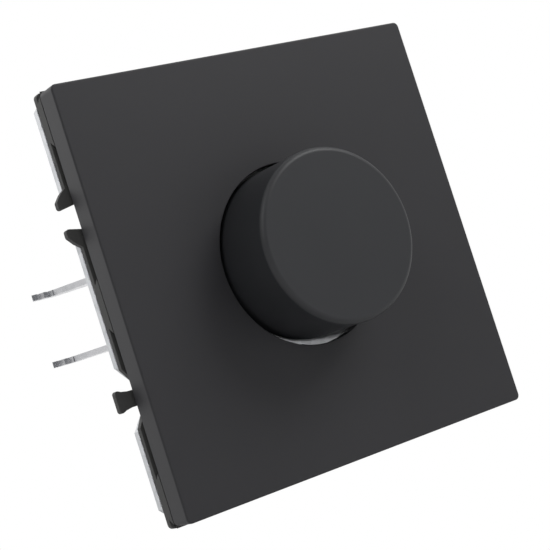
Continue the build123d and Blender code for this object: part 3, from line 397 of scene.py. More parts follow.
def laminateFinish(title, v):
    material, tree, shader = startMaterial(title)
    coords = objectCoords(tree)
    runs = addNode(tree, "TexBrick", offset=v["rowShift"], squash=v["squash"],
                   squash_frequency=v["squashEvery"])
    turned = addNode(tree, "Mapping")
    turned.inputs["Rotation"].default_value = (math.pi / 2, 0, 0)
    tree.links.new(coords, turned.inputs["Vector"])
    tree.links.new(turned.outputs[0], runs.inputs["Vector"])
    runs.inputs["Scale"].default_value = v["tracks"]
    runs.inputs["Mortar Size"].default_value = v["gap"]
    for name, part in (("Color1", "mask"), ("Color2", "mask"), ("Mortar", "copper")):
        runs.inputs[name].default_value = rgba(v[part])
    skin = skinOver(tree, runs.outputs["Color"], v)
    colorInto(tree, shader, skin.outputs["Color"], skin.outputs["Roughness"])
    bumpInto(tree, shader, runs.outputs["Fac"], v["depth"], v["bump"])
    return material


trackBoard = {"board": (0.24, 0.13, 0.06), "carbon": (0.02, 0.02, 0.022), "rings": 420.0, "waver": 0.4,
              "grain": 3000.0, "mottle": 0.2, "rough": 0.5, "depth": 0.00001, "bump": 0.4}


def carbonTrack(title, v):
    material, tree, shader = startMaterial(title)
    coords = objectCoords(tree)
    rings = addNode(tree, "TexWave", wave_type="RINGS", rings_direction="Y")
    tree.links.new(coords, rings.inputs["Vector"])
    rings.inputs["Scale"].default_value = v["rings"]
    rings.inputs["Distortion"].default_value = v["waver"]
    color = mixColors(tree, rings.outputs["Fac"], rgba(v["board"]), rgba(v["carbon"]))
    skin = skinOver(tree, color, v)
    colorInto(tree, shader, skin.outputs["Color"], skin.outputs["Roughness"])
    bumpInto(tree, shader, skin.outputs["Height"], v["depth"], v["bump"])
    return material


copperWire = {"base": (0.55, 0.2, 0.09), "shadow": (0.3, 0.09, 0.04), "rough": 0.24, "roughnessSpread": 0.12,
              "tones": {"scale": 900.0, "detail": 3.0, "rough": 0.6}, "metal": 0.85, "coat": 0.6,
              "coatRough": 0.12, "depth": 0.00002, "bump": 0.4}


def enamelledCopper(title, v):
    material, tree, shader = startMaterial(title)
    tone = noiseAt(tree, objectCoords(tree), **v["tones"])
    color = mixColors(tree, tone, rgba(v["base"]), rgba(v["shadow"]))
    roughness = mathNode(tree, "ADD", mathNode(tree, "MULTIPLY", tone, v["roughnessSpread"]), v["rough"])
    colorInto(tree, shader, color, roughness)
    shader.inputs["Metallic"].default_value = v["metal"]
    shader.inputs["Coat Weight"].default_value = v["coat"]
    shader.inputs["Coat Roughness"].default_value = v["coatRough"]
    bumpInto(tree, shader, tone, v["depth"], v["bump"])
    return material


capacitorFilm = {"base": (0.5, 0.33, 0.04), "edge": (0.62, 0.46, 0.12), "grain": 1500.0, "mottle": 0.3,
                 "rough": 0.3, "gloss": 0.5, "depth": 0.00006, "wearAndHighlight": 0.2, "dust": 0.01}
resistorPaint = {"body": (0.5, 0.36, 0.2), "bands": (0.2, 0.05, 0.02), "bandsPerMetre": 260.0,
                 "bandRange": (0.72, 0.78), "grain": 2000.0, "mottle": 0.15, "rough": 0.3,
                 "depth": 0.00002, "bump": 0.3}


def bandedLacquer(title, v):
    material, tree, shader = startMaterial(title)
    coords = objectCoords(tree)
    bands = addNode(tree, "TexWave", wave_type="BANDS", bands_direction="X")
    tree.links.new(coords, bands.inputs["Vector"])
    bands.inputs["Scale"].default_value = v["bandsPerMetre"]
    sharp = spread(tree, bands.outputs["Fac"], *v["bandRange"])
    skin = skinOver(tree, mixColors(tree, sharp, rgba(v["body"]), rgba(v["bands"])), v)
    colorInto(tree, shader, skin.outputs["Color"], skin.outputs["Roughness"])
    bumpInto(tree, shader, skin.outputs["Height"], v["depth"], v["bump"])
    return material


diacGlass = {"base": (0.5, 0.1, 0.03), "edge": (0.6, 0.2, 0.08), "grain": 1200.0, "mottle": 0.3,
             "rough": 0.12, "gloss": 0.6, "depth": 0.00001, "wearAndHighlight": 0.1, "dust": 0.0}
fuseGlass = {"tint": (0.93, 0.96, 0.95), "streak": (0.8, 0.86, 0.85), "rough": 0.04, "roughnessSpread": 0.05,
             "streaks": {"scale": 300.0, "detail": 2.0, "rough": 0.4}, "clear": 0.9, "ior": 1.47}


def clearTube(title, v):
    material, tree, shader = startMaterial(title)
    streaks = noiseAt(tree, objectCoords(tree), **v["streaks"])
    color = mixColors(tree, streaks, rgba(v["tint"]), rgba(v["streak"]))
    roughness = mathNode(tree, "ADD", mathNode(tree, "MULTIPLY", streaks, v["roughnessSpread"]), v["rough"])
    colorInto(tree, shader, color, roughness)
    shader.inputs["Transmission Weight"].default_value = v["clear"]
    shader.inputs["IOR"].default_value = v["ior"]
    return material


finishes = {
    "plate_plastic": mouldedPlastic("platePlastic", platePlastic),
    "knob_plastic": mouldedPlastic("knobPlastic", knobPlastic),
    "frame_plastic": mouldedPlastic("framePlastic", framePlastic),
    "housing_plastic": mouldedPlastic("housingPlastic", housingPlastic),
    "cover_plastic": mouldedPlastic("coverPlastic", coverPlastic),
    "switch_plastic": mouldedPlastic("switchPlastic", switchPlastic),
    "pot_plastic": mouldedPlastic("potPlastic", potPlastic),
    "triac_epoxy": mouldedPlastic("triacEpoxy", triacEpoxy),
    "ferrite": mouldedPlastic("ferrite", ferrite),
    "capacitor_film": mouldedPlastic("capacitorFilm", capacitorFilm),
    "diac_glass": mouldedPlastic("diacGlass", diacGlass),
    "ring_steel": zincSheet("ringZinc", ringZinc),
    "claw_steel": zincSheet("clawZinc", clawZinc),
    "screw_steel": drawnMetal("screwSteel", screwSteel),
    "bush_metal": drawnMetal("bushMetal", bushMetal),
    "spindle_metal": drawnMetal("spindleMetal", spindleMetal),
    "spring_steel": drawnMetal("springSteel", springSteel),
    "contact_brass": drawnMetal("contactBrass", contactBrass),
    "sink_aluminium": drawnMetal("sinkAluminium", sinkAluminium),
    "board_laminate": laminateFinish("boardLaminate", boardLaminate),
    "track_board": carbonTrack("trackBoard", trackBoard),
    "copper_wire": enamelledCopper("copperWire", copperWire),
    "resistor_paint": bandedLacquer("resistorPaint", resistorPaint),
    "fuse_glass": clearTube("fuseGlass", fuseGlass),
}
for row in frame["record"]["subparts"]:
    piece = cadNodes[row["node"]]
    piece.data.materials.clear()
    piece.data.materials.append(finishes[row["material_slot"]])
print("stage: finishes on every node")


# helpers for pieces whose shape repeats or follows a rule
def startGeometryTree(title, inputs):
    tree = bpy.data.node_groups.new(title, "GeometryNodeTree")
    for name, kind in {**inputs, "Place": "Vector", "Finish": "Material"}.items():
        tree.interface.new_socket(name=name, in_out="INPUT", socket_type="NodeSocket" + kind)
    tree.interface.new_socket(name="Geometry", in_out="OUTPUT", socket_type="NodeSocketGeometry")
    return tree, tree.nodes.new("NodeGroupInput"), tree.nodes.new("NodeGroupOutput")


def geometryNode(tree, kind, links=None, **settings):
    node = tree.nodes.new(kind)
    for name, value in settings.items():
        setattr(node, name, value)
    for key, value in (links or {}).items():
        if hasattr(value, "is_output"):
            tree.links.new(value, node.inputs[key])
        else:
            node.inputs[key].default_value = value
    return node


def closeTree(tree, given, out, geometry):
    real = geometryNode(tree, "GeometryNodeRealizeInstances", {"Geometry": geometry})
    dressed = geometryNode(tree, "GeometryNodeSetMaterial", {"Geometry": real.outputs[0],
                                                            "Material": given.outputs["Finish"]})
    tree.links.new(dressed.outputs[0], out.inputs["Geometry"])


def putInScene(title, data):
    thing = bpy.data.objects.new(title, data)
    bpy.context.scene.collection.objects.link(thing)
    return thing


def meshAsShown(thing):
    view = bpy.context.evaluated_depsgraph_get()
    return bpy.data.meshes.new_from_object(thing.evaluated_get(view))


def bakeTree(title, tree, values):
    holder = putInScene(title + "Holder", bpy.data.meshes.new(title + "Holder"))
    modifier = holder.modifiers.new("shape", "NODES")
    modifier.node_group = tree
    for item in tree.interface.items_tree:
        if item.in_out == "INPUT":
            modifier[item.identifier] = values[item.name]
    mesh = meshAsShown(holder)
    bpy.data.objects.remove(holder)
    mesh.name = title
    return mesh


def addPiece(title, mesh, body, replaced):
    piece = putInScene(title, mesh)
    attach(piece, body)
    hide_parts(replaced)
    return piece


def standIn(title, shape):
    mesh = bpy.data.meshes.new(title)
    bmesh.ops.recalc_face_normals(shape, faces=shape.faces)
    shape.to_mesh(mesh)
    shape.free()
    return putInScene(title, mesh)


def addBoolean(base, other, operation):
    modifier = base.modifiers.new(other.name, "BOOLEAN")
    modifier.object = other
    modifier.operation = operation
    modifier.solver = "EXACT"


# choke winding: eighteen turns of enamelled wire round the ring core
chokeWinding = {"turns": 18, "wire": 0.00035, "inside": 0.0022, "outside": 0.0059, "length": 0.0056,
                "lean": 0.09, "bendWires": 2.2, "bendSteps": 4, "wireSides": 10}


def buildTurnsTree(v):
    tree, given, out = startGeometryTree("woundTurns", {
        "Turns": "Int", "Wire radius": "Float", "Inside": "Float", "Outside": "Float", "Length": "Float",
        "Lean": "Float"})
    g = given.outputs
    span = mathNode(tree, "SUBTRACT", g["Outside"], g["Inside"])
    middle = mathNode(tree, "MULTIPLY", mathNode(tree, "ADD", g["Outside"], g["Inside"]), 0.5)
    loop = geometryNode(tree, "GeometryNodeCurvePrimitiveQuadrilateral", {
        "Width": span, "Height": g["Length"]})
    bend = mathNode(tree, "MULTIPLY", g["Wire radius"], v["bendWires"])
    soft = geometryNode(tree, "GeometryNodeFilletCurve", {
        "Curve": loop.outputs[0], "Radius": bend, "Count": v["bendSteps"]}, mode="POLY")
    shift = addNode(tree, "CombineXYZ")
    tree.links.new(middle, shift.inputs[0])
    upright = geometryNode(tree, "GeometryNodeTransform", {
        "Geometry": soft.outputs[0], "Rotation": (math.pi / 2, 0, 0), "Translation": shift.outputs[0]})
    section = geometryNode(tree, "GeometryNodeCurvePrimitiveCircle", {
        "Resolution": v["wireSides"], "Radius": g["Wire radius"]})
    wire = geometryNode(tree, "GeometryNodeCurveToMesh", {"Curve": upright.outputs[0],
                                                         "Profile Curve": section.outputs[0]})
    smooth = geometryNode(tree, "GeometryNodeSetShadeSmooth", {"Geometry": wire.outputs[0]})
    points = geometryNode(tree, "GeometryNodePoints", {"Count": g["Turns"]})
    step = mathNode(tree, "DIVIDE", 2 * math.pi, g["Turns"])
    around = mathNode(tree, "MULTIPLY", geometryNode(tree, "GeometryNodeInputIndex").outputs[0], step)
    euler = addNode(tree, "CombineXYZ")
    tree.links.new(g["Lean"], euler.inputs[0])
    tree.links.new(around, euler.inputs[2])
    turned = geometryNode(tree, "FunctionNodeEulerToRotation", {"Euler": euler.outputs[0]})
    copies = geometryNode(tree, "GeometryNodeInstanceOnPoints", {
        "Points": points.outputs[0], "Instance": smooth.outputs[0], "Rotation": turned.outputs[0]})
    laid = geometryNode(tree, "GeometryNodeTransform", {
        "Geometry": copies.outputs[0], "Rotation": (math.pi / 2, 0, 0), "Translation": g["Place"]})
    closeTree(tree, given, out, laid.outputs[0])
    return tree


v = chokeWinding
low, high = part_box("choke_core")
turnsMesh = bakeTree("chokeTurns", buildTurnsTree(v), {
    "Turns": v["turns"], "Wire radius": v["wire"], "Inside": v["inside"], "Outside": v["outside"],
    "Length": v["length"], "Lean": v["lean"], "Place": (low + high) / 2, "Finish": finishes["copper_wire"]})
addPiece("chokeTurns", turnsMesh, "insert", "choke_winding")
print("stage: choke wound,", len(turnsMesh.polygons), "faces")


# return spring: the coil that pushes the knob back, drawn at one fixed length
returnSpring = {"turns": 2.0, "coil": 0.0021, "wire": 0.000175, "start": 0.011475, "height": 0.00215,
                "seat": 0.0138, "travel": 0.0015, "stepsPerTurn": 48, "wireSides": 14}


def buildCoilTree(v):
    tree, given, out = startGeometryTree("coiledWire", {
        "Turns": "Float", "Coil radius": "Float", "Wire radius": "Float", "Height": "Float"})
    g = given.outputs
    line = geometryNode(tree, "GeometryNodeCurveSpiral", {
        "Resolution": v["stepsPerTurn"], "Rotations": g["Turns"], "Start Radius": g["Coil radius"],
        "End Radius": g["Coil radius"], "Height": g["Height"]})
    section = geometryNode(tree, "GeometryNodeCurvePrimitiveCircle", {
        "Resolution": v["wireSides"], "Radius": g["Wire radius"]})
    wire = geometryNode(tree, "GeometryNodeCurveToMesh", {
        "Curve": line.outputs[0], "Profile Curve": section.outputs[0], "Fill Caps": True})
    smooth = geometryNode(tree, "GeometryNodeSetShadeSmooth", {"Geometry": wire.outputs[0]})
    laid = geometryNode(tree, "GeometryNodeTransform", {
        "Geometry": smooth.outputs[0], "Rotation": (-math.pi / 2, 0, 0), "Translation": g["Place"]})
    closeTree(tree, given, out, laid.outputs[0])
    return tree


v = returnSpring
coilMesh = bakeTree("springCoiled", buildCoilTree(v), {
    "Turns": v["turns"], "Coil radius": v["coil"], "Wire radius": v["wire"], "Height": v["height"],
    "Place": (0.0, v["start"], 0.0), "Finish": finishes["spring_steel"]})
springPiece = addPiece("springCoiled", coilMesh, "insert", "return_spring")
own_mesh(springPiece)
print("stage: return spring coiled,", len(coilMesh.polygons), "faces")


# claw screws: a rolled thread under a slotted head, as long and as wide as the frame's own
clawScrew = {"start": -0.0013, "radius": 0.0015, "pitch": 0.0005, "depth": 0.00024, "plain": 0.0016,
             "columns": 25, "rowsPerTurn": 8.0, "pointStart": 0.985, "pointCut": 0.3, "endShare": 0.0001,
             "weld": 0.000004, "headBack": -0.0012, "headSides": 48, "headEdge": 0.0003,
             "headEdgeSteps": 3, "frontTolerance": 0.000001, "slotWidth": 0.0008, "slotDepth": 0.0008}


def buildThreadTree(v):
    tree, given, out = startGeometryTree("rolledThread", {
        "Start": "Float", "End": "Float", "Radius": "Float", "Pitch": "Float", "Depth": "Float",
        "Plain": "Float"})
    g = given.outputs
    length = mathNode(tree, "SUBTRACT", g["End"], g["Start"])
    rows = mathNode(tree, "MULTIPLY", mathNode(tree, "DIVIDE", length, g["Pitch"]), v["rowsPerTurn"])
    sheet = geometryNode(tree, "GeometryNodeMeshGrid", {
        "Size X": 1.0, "Size Y": 1.0, "Vertices X": v["columns"], "Vertices Y": rows})
    place = addNode(tree, "SeparateXYZ")
    tree.links.new(geometryNode(tree, "GeometryNodeInputPosition").outputs[0], place.inputs[0])
    share = mathNode(tree, "ADD", place.outputs[1], 0.5)   # nought at the head, one at the point
    along = mathNode(tree, "MULTIPLY", share, length)
    angle = mathNode(tree, "MULTIPLY", place.outputs[0], 2 * math.pi)
    turns = mathNode(tree, "SUBTRACT", mathNode(tree, "DIVIDE", along, g["Pitch"]), place.outputs[0])
    crest = mathNode(tree, "PINGPONG", turns, 0.5)   # up and down once in each turn
    cut = mathNode(tree, "MULTIPLY", mathNode(tree, "MULTIPLY", crest, 2.0), g["Depth"])
    threaded = mathNode(tree, "GREATER_THAN", along, g["Plain"])
    point = mathNode(tree, "MULTIPLY", mathNode(tree, "GREATER_THAN", share, v["pointStart"]), v["pointCut"])
    closed = mathNode(tree, "MULTIPLY", mathNode(tree, "GREATER_THAN", share, v["endShare"]),
                      mathNode(tree, "LESS_THAN", share, 1 - v["endShare"]))
    radius = mathNode(tree, "SUBTRACT", g["Radius"], mathNode(tree, "MULTIPLY", cut, threaded))
    radius = mathNode(tree, "MULTIPLY", mathNode(tree, "MULTIPLY", radius, closed),
                      mathNode(tree, "SUBTRACT", 1.0, point))
    spot = addNode(tree, "CombineXYZ")
    tree.links.new(mathNode(tree, "MULTIPLY", radius, mathNode(tree, "COSINE", angle)), spot.inputs[0])
    tree.links.new(mathNode(tree, "ADD", along, g["Start"]), spot.inputs[1])
    tree.links.new(mathNode(tree, "MULTIPLY", radius, mathNode(tree, "SINE", angle)), spot.inputs[2])
    bent = geometryNode(tree, "GeometryNodeSetPosition", {
        "Geometry": sheet.outputs[0], "Position": spot.outputs[0]})
    welded = geometryNode(tree, "GeometryNodeMergeByDistance", {
        "Geometry": bent.outputs[0], "Distance": v["weld"]})
    laid = geometryNode(tree, "GeometryNodeTransform", {
        "Geometry": welded.outputs[0], "Translation": g["Place"]})
    closeTree(tree, given, out, laid.outputs[0])
    return tree


def slottedHead(v, x):
    shape = bmesh.new()
    middle = (x, (v["headBack"] + v["headFront"]) / 2, v["up"])
    lay = Matrix.Translation(middle) @ Matrix.Rotation(math.pi / 2, 4, "X")
    bmesh.ops.create_cone(shape, cap_ends=True, segments=v["headSides"], radius1=v["headRadius"],
                          radius2=v["headRadius"], depth=v["headBack"] - v["headFront"], matrix=lay)
    rim = [e for e in shape.edges if all(abs(w.co.y - v["headFront"]) < v["frontTolerance"] for w in e.verts)]
    bmesh.ops.bevel(shape, geom=rim, offset=v["headEdge"], segments=v["headEdgeSteps"], profile=0.5,
                    affect="EDGES")
    cutter = bmesh.new()
    reach = Matrix.Diagonal((4 * v["headRadius"], 2 * v["slotDepth"], v["slotWidth"], 1))
    bmesh.ops.create_cube(cutter, size=1.0, matrix=Matrix.Translation((x, v["headFront"], v["up"])) @ reach)
    head = standIn("slottedHead", shape)
    slot = standIn("slotCutter", cutter)
    addBoolean(head, slot, "DIFFERENCE")
    done = meshAsShown(head)
    for item in (head, slot):
        bpy.data.objects.remove(item)
    return done


low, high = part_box("right_claw_screw")
headRadius = (high.z - low.z) / 2
v = {**clawScrew, "across": high.x - headRadius, "up": (low.z + high.z) / 2, "end": high.y,
     "headRadius": headRadius, "headFront": low.y}
threadTree = buildThreadTree(v)
for hand, side in (("left", -1), ("right", 1)):
    x = side * v["across"]
    shank = bakeTree(hand + "Shank", threadTree, {
        "Start": v["start"], "End": v["end"], "Radius": v["radius"], "Pitch": v["pitch"], "Depth": v["depth"],
        "Plain": v["plain"], "Place": (x, 0.0, v["up"]), "Finish": finishes["screw_steel"]})
    whole = bmesh.new()
    whole.from_mesh(shank)
    whole.from_mesh(slottedHead(v, x))
    bmesh.ops.recalc_face_normals(whole, faces=whole.faces)
    screwMesh = bpy.data.meshes.new(hand + "ClawScrewTurned")
    whole.to_mesh(screwMesh)
    whole.free()
    screwMesh.materials.append(finishes["screw_steel"])
    addPiece(hand + "ClawScrewTurned", screwMesh, hand + "_screw_body", hand + "_claw_screw")
print("stage: claw screws threaded,", len(screwMesh.polygons), "faces each")


# smooth solids in mesh code: turned, blocked out, joined and cut
weldDistance = 0.000002
creaseAngle = math.radians(32)


def joinRings(shape, rings):
    for first, second in zip(rings, rings[1:]):
        count = max(len(first), len(second))
        for k in range(count):
            n = (k + 1) % count
            corners = [first[k % len(first)], first[n % len(first)],
                       second[n % len(second)], second[k % len(second)]]
            kept = [c for place, c in enumerate(corners) if c not in corners[:place]]
            shape.faces.new(kept)


def quarterTurn(steps):
    return [math.pi / 2 * k / steps for k in range(steps + 1)]


def turnedSolid(title, profile, segments, up=0.0):
    shape = bmesh.new()
    rings = []
    for radius, depth in profile:
        count = segments if radius > 0 else 1
        spots = [2 * math.pi * k / segments for k in range(count)]
        rings.append([shape.verts.new((radius * math.cos(a), depth, up + radius * math.sin(a)))
                      for a in spots])
    joinRings(shape, rings)
    return standIn(title, shape)


def blockSolid(title, low, high, turn=0.0):
    shape = bmesh.new()
    middle = [(a + b) / 2 for a, b in zip(low, high)]
    size = [b - a for a, b in zip(low, high)]
    lay = Matrix.Rotation(turn, 4, "Y") @ Matrix.Translation(middle) @ Matrix.Diagonal((*size, 1))
    bmesh.ops.create_cube(shape, size=1.0, matrix=lay)
    return standIn(title, shape)


def prismSolid(title, ends):
    shape = bmesh.new()
    rings = [[shape.verts.new(spot) for spot in end] for end in ends]
    joinRings(shape, rings)
    for ring in rings:
        shape.faces.new(ring)
    return standIn(title, shape)


def softSlab(title, v):
    shape = bmesh.new()
    rings = []
    steps = [(0.0, v["back"])]
    steps += [(v["edge"] * (1 - math.cos(a)), v["front"] + v["edge"] * (1 - math.sin(a)))
              for a in quarterTurn(v["edgeSteps"])]
    reach = v["side"] / 2 - v["corner"]
    for inset, depth in steps:
        ring = []
        for quarter in range(4):
            middle = math.pi / 2 * quarter + math.pi / 4
            x, z = math.copysign(reach, math.cos(middle)), math.copysign(reach, math.sin(middle)) - v["drop"]
            for k in range(v["cornerSteps"] + 1):
                a = math.pi / 2 * (quarter + k / v["cornerSteps"])
                radius = v["corner"] - inset
                ring.append(shape.verts.new((x + radius * math.cos(a), depth, z + radius * math.sin(a))))
        rings.append(ring)
    joinRings(shape, rings)
    shape.faces.new(rings[0])
    shape.faces.new(rings[-1])
    return standIn(title, shape)


def shapeTogether(title, base, added=(), removed=()):
    for operation, others in (("UNION", added), ("DIFFERENCE", removed)):
        for other in others:
            addBoolean(base, other, operation)
    mesh = meshAsShown(base)
    for thing in (base, *added, *removed):
        bpy.data.objects.remove(thing)
    clean = bmesh.new()
    clean.from_mesh(mesh)
    bmesh.ops.remove_doubles(clean, verts=clean.verts, dist=weldDistance)
    bmesh.ops.dissolve_degenerate(clean, edges=clean.edges, dist=weldDistance)
    clean.to_mesh(mesh)
    clean.free()
    mesh.name = title
    mesh.shade_smooth()
    mesh.set_sharp_from_angle(angle=creaseAngle)
    mesh.materials.clear()
    return mesh


def evenShading(piece):
    modifier = piece.modifiers.new("evenShading", "WEIGHTED_NORMAL")
    modifier.keep_sharp = True


# cover plate: moulded tray with a softly rounded front edge and hole, and four barbed tongues
coverPlate = {"corner": 0.0009, "edge": 0.0003, "back": -0.0037, "inner": -0.006, "skirt": 0.0016,
              "edgeSteps": 5, "cornerSteps": 8, "hole": 0.0153, "holeEdge": 0.00018, "holeEdgeSteps": 4,
              "holeSides": 224, "cutFront": -0.012, "cutBack": -0.001, "tongue": (0.0216, 0.0228),
              "barb": 0.0234, "barbFront": -0.0021, "tonguePlace": 0.012, "tongueHalf": 0.003,
              "tongueSink": 0.0005}
low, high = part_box("cover_plate")
v = {**coverPlate, "side": high.x - low.x, "drop": -(low.z + high.z) / 2, "front": low.y,
     "tongueEnd": high.y}
slab = softSlab("plateSlab", v)
inside = v["side"] / 2 - v["skirt"]
hollow = blockSolid("plateHollow", (-inside, v["inner"], -inside - v["drop"]),
                    (inside, 0.0, inside - v["drop"]))
flare = [(v["hole"] + v["holeEdge"] * (1 - math.sin(a)), v["front"] + v["holeEdge"] * (1 - math.cos(a)))
         for a in quarterTurn(v["holeEdgeSteps"])]
opening = turnedSolid("plateOpening", [
    (0.0, v["cutFront"]), (v["hole"] + v["holeEdge"], v["cutFront"]), *flare, (v["hole"], v["cutBack"]),
    (0.0, v["cutBack"])], v["holeSides"], -v["drop"])
tongues = []
for side in (-1, 1):
    for place in (-v["tonguePlace"], v["tonguePlace"]):
        near, far = v["tongue"]
        root = v["inner"] - v["tongueSink"]
        hook = [(near, root), (far, root), (far, v["barbFront"]), (v["barb"], v["barbFront"]),
                (v["barb"], v["tongueEnd"]), (near, v["tongueEnd"])]
        tongues.append(prismSolid("snapTongue", [[(side * x, y, z) for x, y in hook] for z in (
            place - v["tongueHalf"], place + v["tongueHalf"])]))
trayMesh = shapeTogether("plateTray", slab, [], [hollow, opening])
plateMesh = shapeTogether("coverPlateMoulded", putInScene("plateTray", trayMesh), tongues)
plateMesh.materials.append(finishes["plate_plastic"])
evenShading(addPiece("coverPlateMoulded", plateMesh, "insert", "cover_plate"))
print("stage: cover plate moulded,", len(plateMesh.polygons), "faces")


# knob: turned cap with a ribbed boss and a flatted bore
knobCap = {"wall": 0.0016, "face": 0.002, "edge": 0.00095, "rimEdge": 0.0002, "edgeSteps": 10,
           "rimStride": 3, "sides": 224, "boss": 0.005, "bossEnd": -0.0101, "bossSides": 72,
           "grip": 0.0006, "gripDepth": 0.002, "bore": 0.00305, "boreSteps": 40, "flat": 0.00155,
           "ribs": 6, "ribWidth": 0.001, "ribDepth": 0.005, "sink": 0.0004}
low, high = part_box("knob")
v = {**knobCap, "radius": high.x, "front": low.y, "rim": high.y}
inner = v["front"] + v["face"]
quarter = quarterTurn(v["edgeSteps"])
profile = [(0.0, v["front"])]
profile += [(v["radius"] - v["edge"] * (1 - math.sin(a)), v["front"] + v["edge"] * (1 - math.cos(a)))
            for a in quarter]
profile += [(v["radius"] - v["rimEdge"] * (1 - math.cos(a)), v["rim"] - v["rimEdge"] * (1 - math.sin(a)))
            for a in quarter[::v["rimStride"]]]
profile += [(v["radius"] - v["wall"], v["rim"]), (v["radius"] - v["wall"], inner), (0.0, inner)]
cap = turnedSolid("knobShell", profile, v["sides"])
gripStart = v["bossEnd"] - v["gripDepth"]
neck = v["boss"] - v["grip"]
boss = turnedSolid("knobBoss", [
    (0.0, inner - v["sink"]), (v["boss"], inner - v["sink"]), (v["boss"], gripStart), (neck, gripStart),
    (neck, v["bossEnd"]), (0.0, v["bossEnd"])], v["bossSides"])
ribEnd = v["radius"] - v["wall"] + v["sink"]
ribs = [blockSolid("knobRib", (v["boss"] - v["sink"], inner - v["sink"], -v["ribWidth"] / 2),
                   (ribEnd, inner + v["ribDepth"], v["ribWidth"] / 2), 2 * math.pi * k / v["ribs"])
        for k in range(v["ribs"])]
flatAngle = math.asin(v["flat"] / v["bore"])
arc = [-math.pi - flatAngle + (math.pi + 2 * flatAngle) * k / v["boreSteps"]
       for k in range(v["boreSteps"] + 1)]
bore = prismSolid("knobBore", [[(v["bore"] * math.cos(a), depth, v["bore"] * math.sin(a)) for a in arc]
                               for depth in (inner, 0.0)])
knobMesh = shapeTogether("knobTurned", cap, [boss, *ribs], [bore])
knobMesh.materials.append(finishes["knob_plastic"])
evenShading(addPiece("knobTurned", knobMesh, "knob_and_spindle", "knob"))
print("stage: knob turned,", len(knobMesh.polygons), "faces")


# camera: its place and axes were fitted to the plate's corners and the knob's circles
cameraValues = {
    "place": (-0.14482, -0.21458, -0.015),
    "right": (0.79930894, -0.51760371, -0.30527304),
    "up": (0.22784838, -0.2090252, 0.9509961),
    "forward": (0.55604887, 0.82969565, 0.04914054),
    "lens": 100.99,
    "sensor": 36.0,
    "near": 0.01,
    "far": 20.0,
}
cameraData = bpy.data.cameras.new("camera")
cameraData.lens = cameraValues["lens"]
cameraData.sensor_width = cameraValues["sensor"]
cameraData.clip_start = cameraValues["near"]
cameraData.clip_end = cameraValues["far"]
camera = putInScene("camera", cameraData)
columns = [Vector(cameraValues["right"]), Vector(cameraValues["up"]), -Vector(cameraValues["forward"])]
turn = Matrix([[c[i] for c in columns] for i in range(3)]).to_4x4()
camera.matrix_world = Matrix.Translation(Vector(cameraValues["place"])) @ turn
bpy.context.scene.camera = camera
bpy.context.scene.view_settings.view_transform = "Standard"
print("stage: camera placed")


# lamps, all aimed at the origin
lamps = {
    "key": {"place": (0.34, -0.36, 0.4), "size": 0.35, "watts": 2.3},
    "cameraFill": {"place": (-0.34, -0.27, 0.36), "size": 0.25, "watts": 0.68},
    "backFill": {"place": (-0.3, 0.6, 0.4), "size": 0.6, "watts": 0.9},
    "gapGlint": {"place": (-0.1782, -0.2643, 0.006), "size": 0.02, "watts": 1.2, "only": "support_ring"},
    "linkGlow": {"place": (-0.2, -0.48, 0.0), "size": 0.2, "watts": 0.6, "only": "clip_frame"},
}
for title, v in lamps.items():
    lampData = bpy.data.lights.new(title, "AREA")
    lampData.size = v["size"]
    lampData.energy = v["watts"]
    lamp = putInScene(title, lampData)
    aim = (-Vector(v["place"])).to_track_quat("-Z", "Y")
    lamp.matrix_world = Matrix.Translation(Vector(v["place"])) @ aim.to_matrix().to_4x4()
    if "only" in v:   # this lamp reaches one piece and nothing else
        lit = bpy.data.collections.new(title + "Lit")
        lit.objects.link(cadNodes[v["only"]])
        lamp.light_linking.receiver_collection = lit


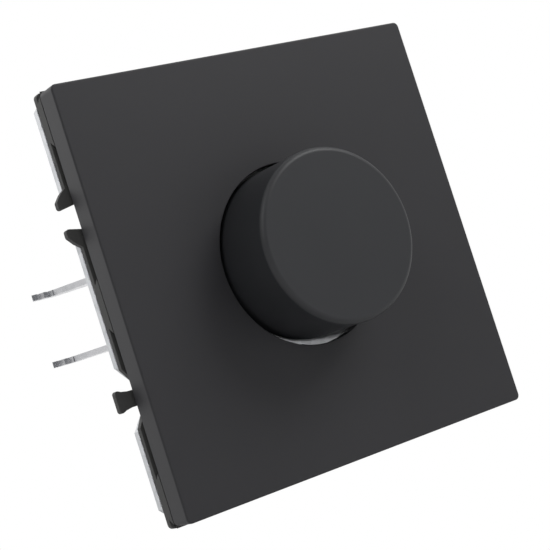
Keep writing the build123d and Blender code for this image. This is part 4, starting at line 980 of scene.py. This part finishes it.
# white room
room = {"roomLight": 0.25, "frontGlow": 0.28, "glowRange": (-0.5, 0.35), "floorDrop": 0.13,
        "floorReach": 6.0, "paleFloor": 0.82, "floorRough": 0.9, "fadeRange": (0.16, 0.4)}
world = bpy.data.worlds.new("paleRoom")
bpy.context.scene.world = world
world.use_nodes = True
tree = world.node_tree
background = tree.nodes["Background"]
rays = addNode(tree, "LightPath")
bearing = addNode(tree, "SeparateXYZ")
tree.links.new(addNode(tree, "TexCoord").outputs["Generated"], bearing.inputs[0])
behind = spread(tree, bearing.outputs["Y"], *room["glowRange"])   # the studio is white behind, dim in front
glossy = mathNode(tree, "MAXIMUM", rays.outputs["Is Glossy Ray"], rays.outputs["Is Transmission Ray"])
glow = mathNode(tree, "ADD", mathNode(tree, "MULTIPLY", behind, 1.0 - room["frontGlow"]), room["frontGlow"])
shown = mathNode(tree, "MAXIMUM", rays.outputs["Is Camera Ray"], mathNode(tree, "MULTIPLY", glossy, glow))
strength = mathNode(tree, "MAXIMUM", shown, room["roomLight"])
tree.links.new(strength, background.inputs["Strength"])
background.inputs["Color"].default_value = (1, 1, 1, 1)

floorMesh = bpy.data.meshes.new("floor")
reach = room["floorReach"]
floorCorners = [(x, y, -room["floorDrop"]) for x, y in (
    (-reach, -reach), (reach, -reach), (reach, reach), (-reach, reach))]
floorMesh.from_pydata(floorCorners, [], [(0, 1, 2, 3)])
floor = putInScene("floor", floorMesh)
floorMaterial, tree, shader = startMaterial("paleFloor")
shader.inputs["Base Color"].default_value = (room["paleFloor"],) * 3 + (1,)
shader.inputs["Roughness"].default_value = room["floorRough"]
whiteGlow = addNode(tree, "Emission")
whiteGlow.inputs["Strength"].default_value = 1.0
rays = addNode(tree, "LightPath")
coords = objectCoords(tree)
distance = addNode(tree, "VectorMath", operation="LENGTH")
tree.links.new(coords, distance.inputs[0])
fade = spread(tree, distance.outputs["Value"], *room["fadeRange"])   # the floor is plain white further out
seen = mathNode(tree, "MAXIMUM", rays.outputs["Is Camera Ray"], rays.outputs["Is Glossy Ray"])
blendShader = addNode(tree, "MixShader")
tree.links.new(mathNode(tree, "MULTIPLY", seen, fade), blendShader.inputs[0])
tree.links.new(shader.outputs[0], blendShader.inputs[1])
tree.links.new(whiteGlow.outputs[0], blendShader.inputs[2])
tree.links.new(blendShader.outputs[0], tree.nodes["Material Output"].inputs["Surface"])
floorMesh.materials.append(floorMaterial)
print("stage: room and lamps placed")
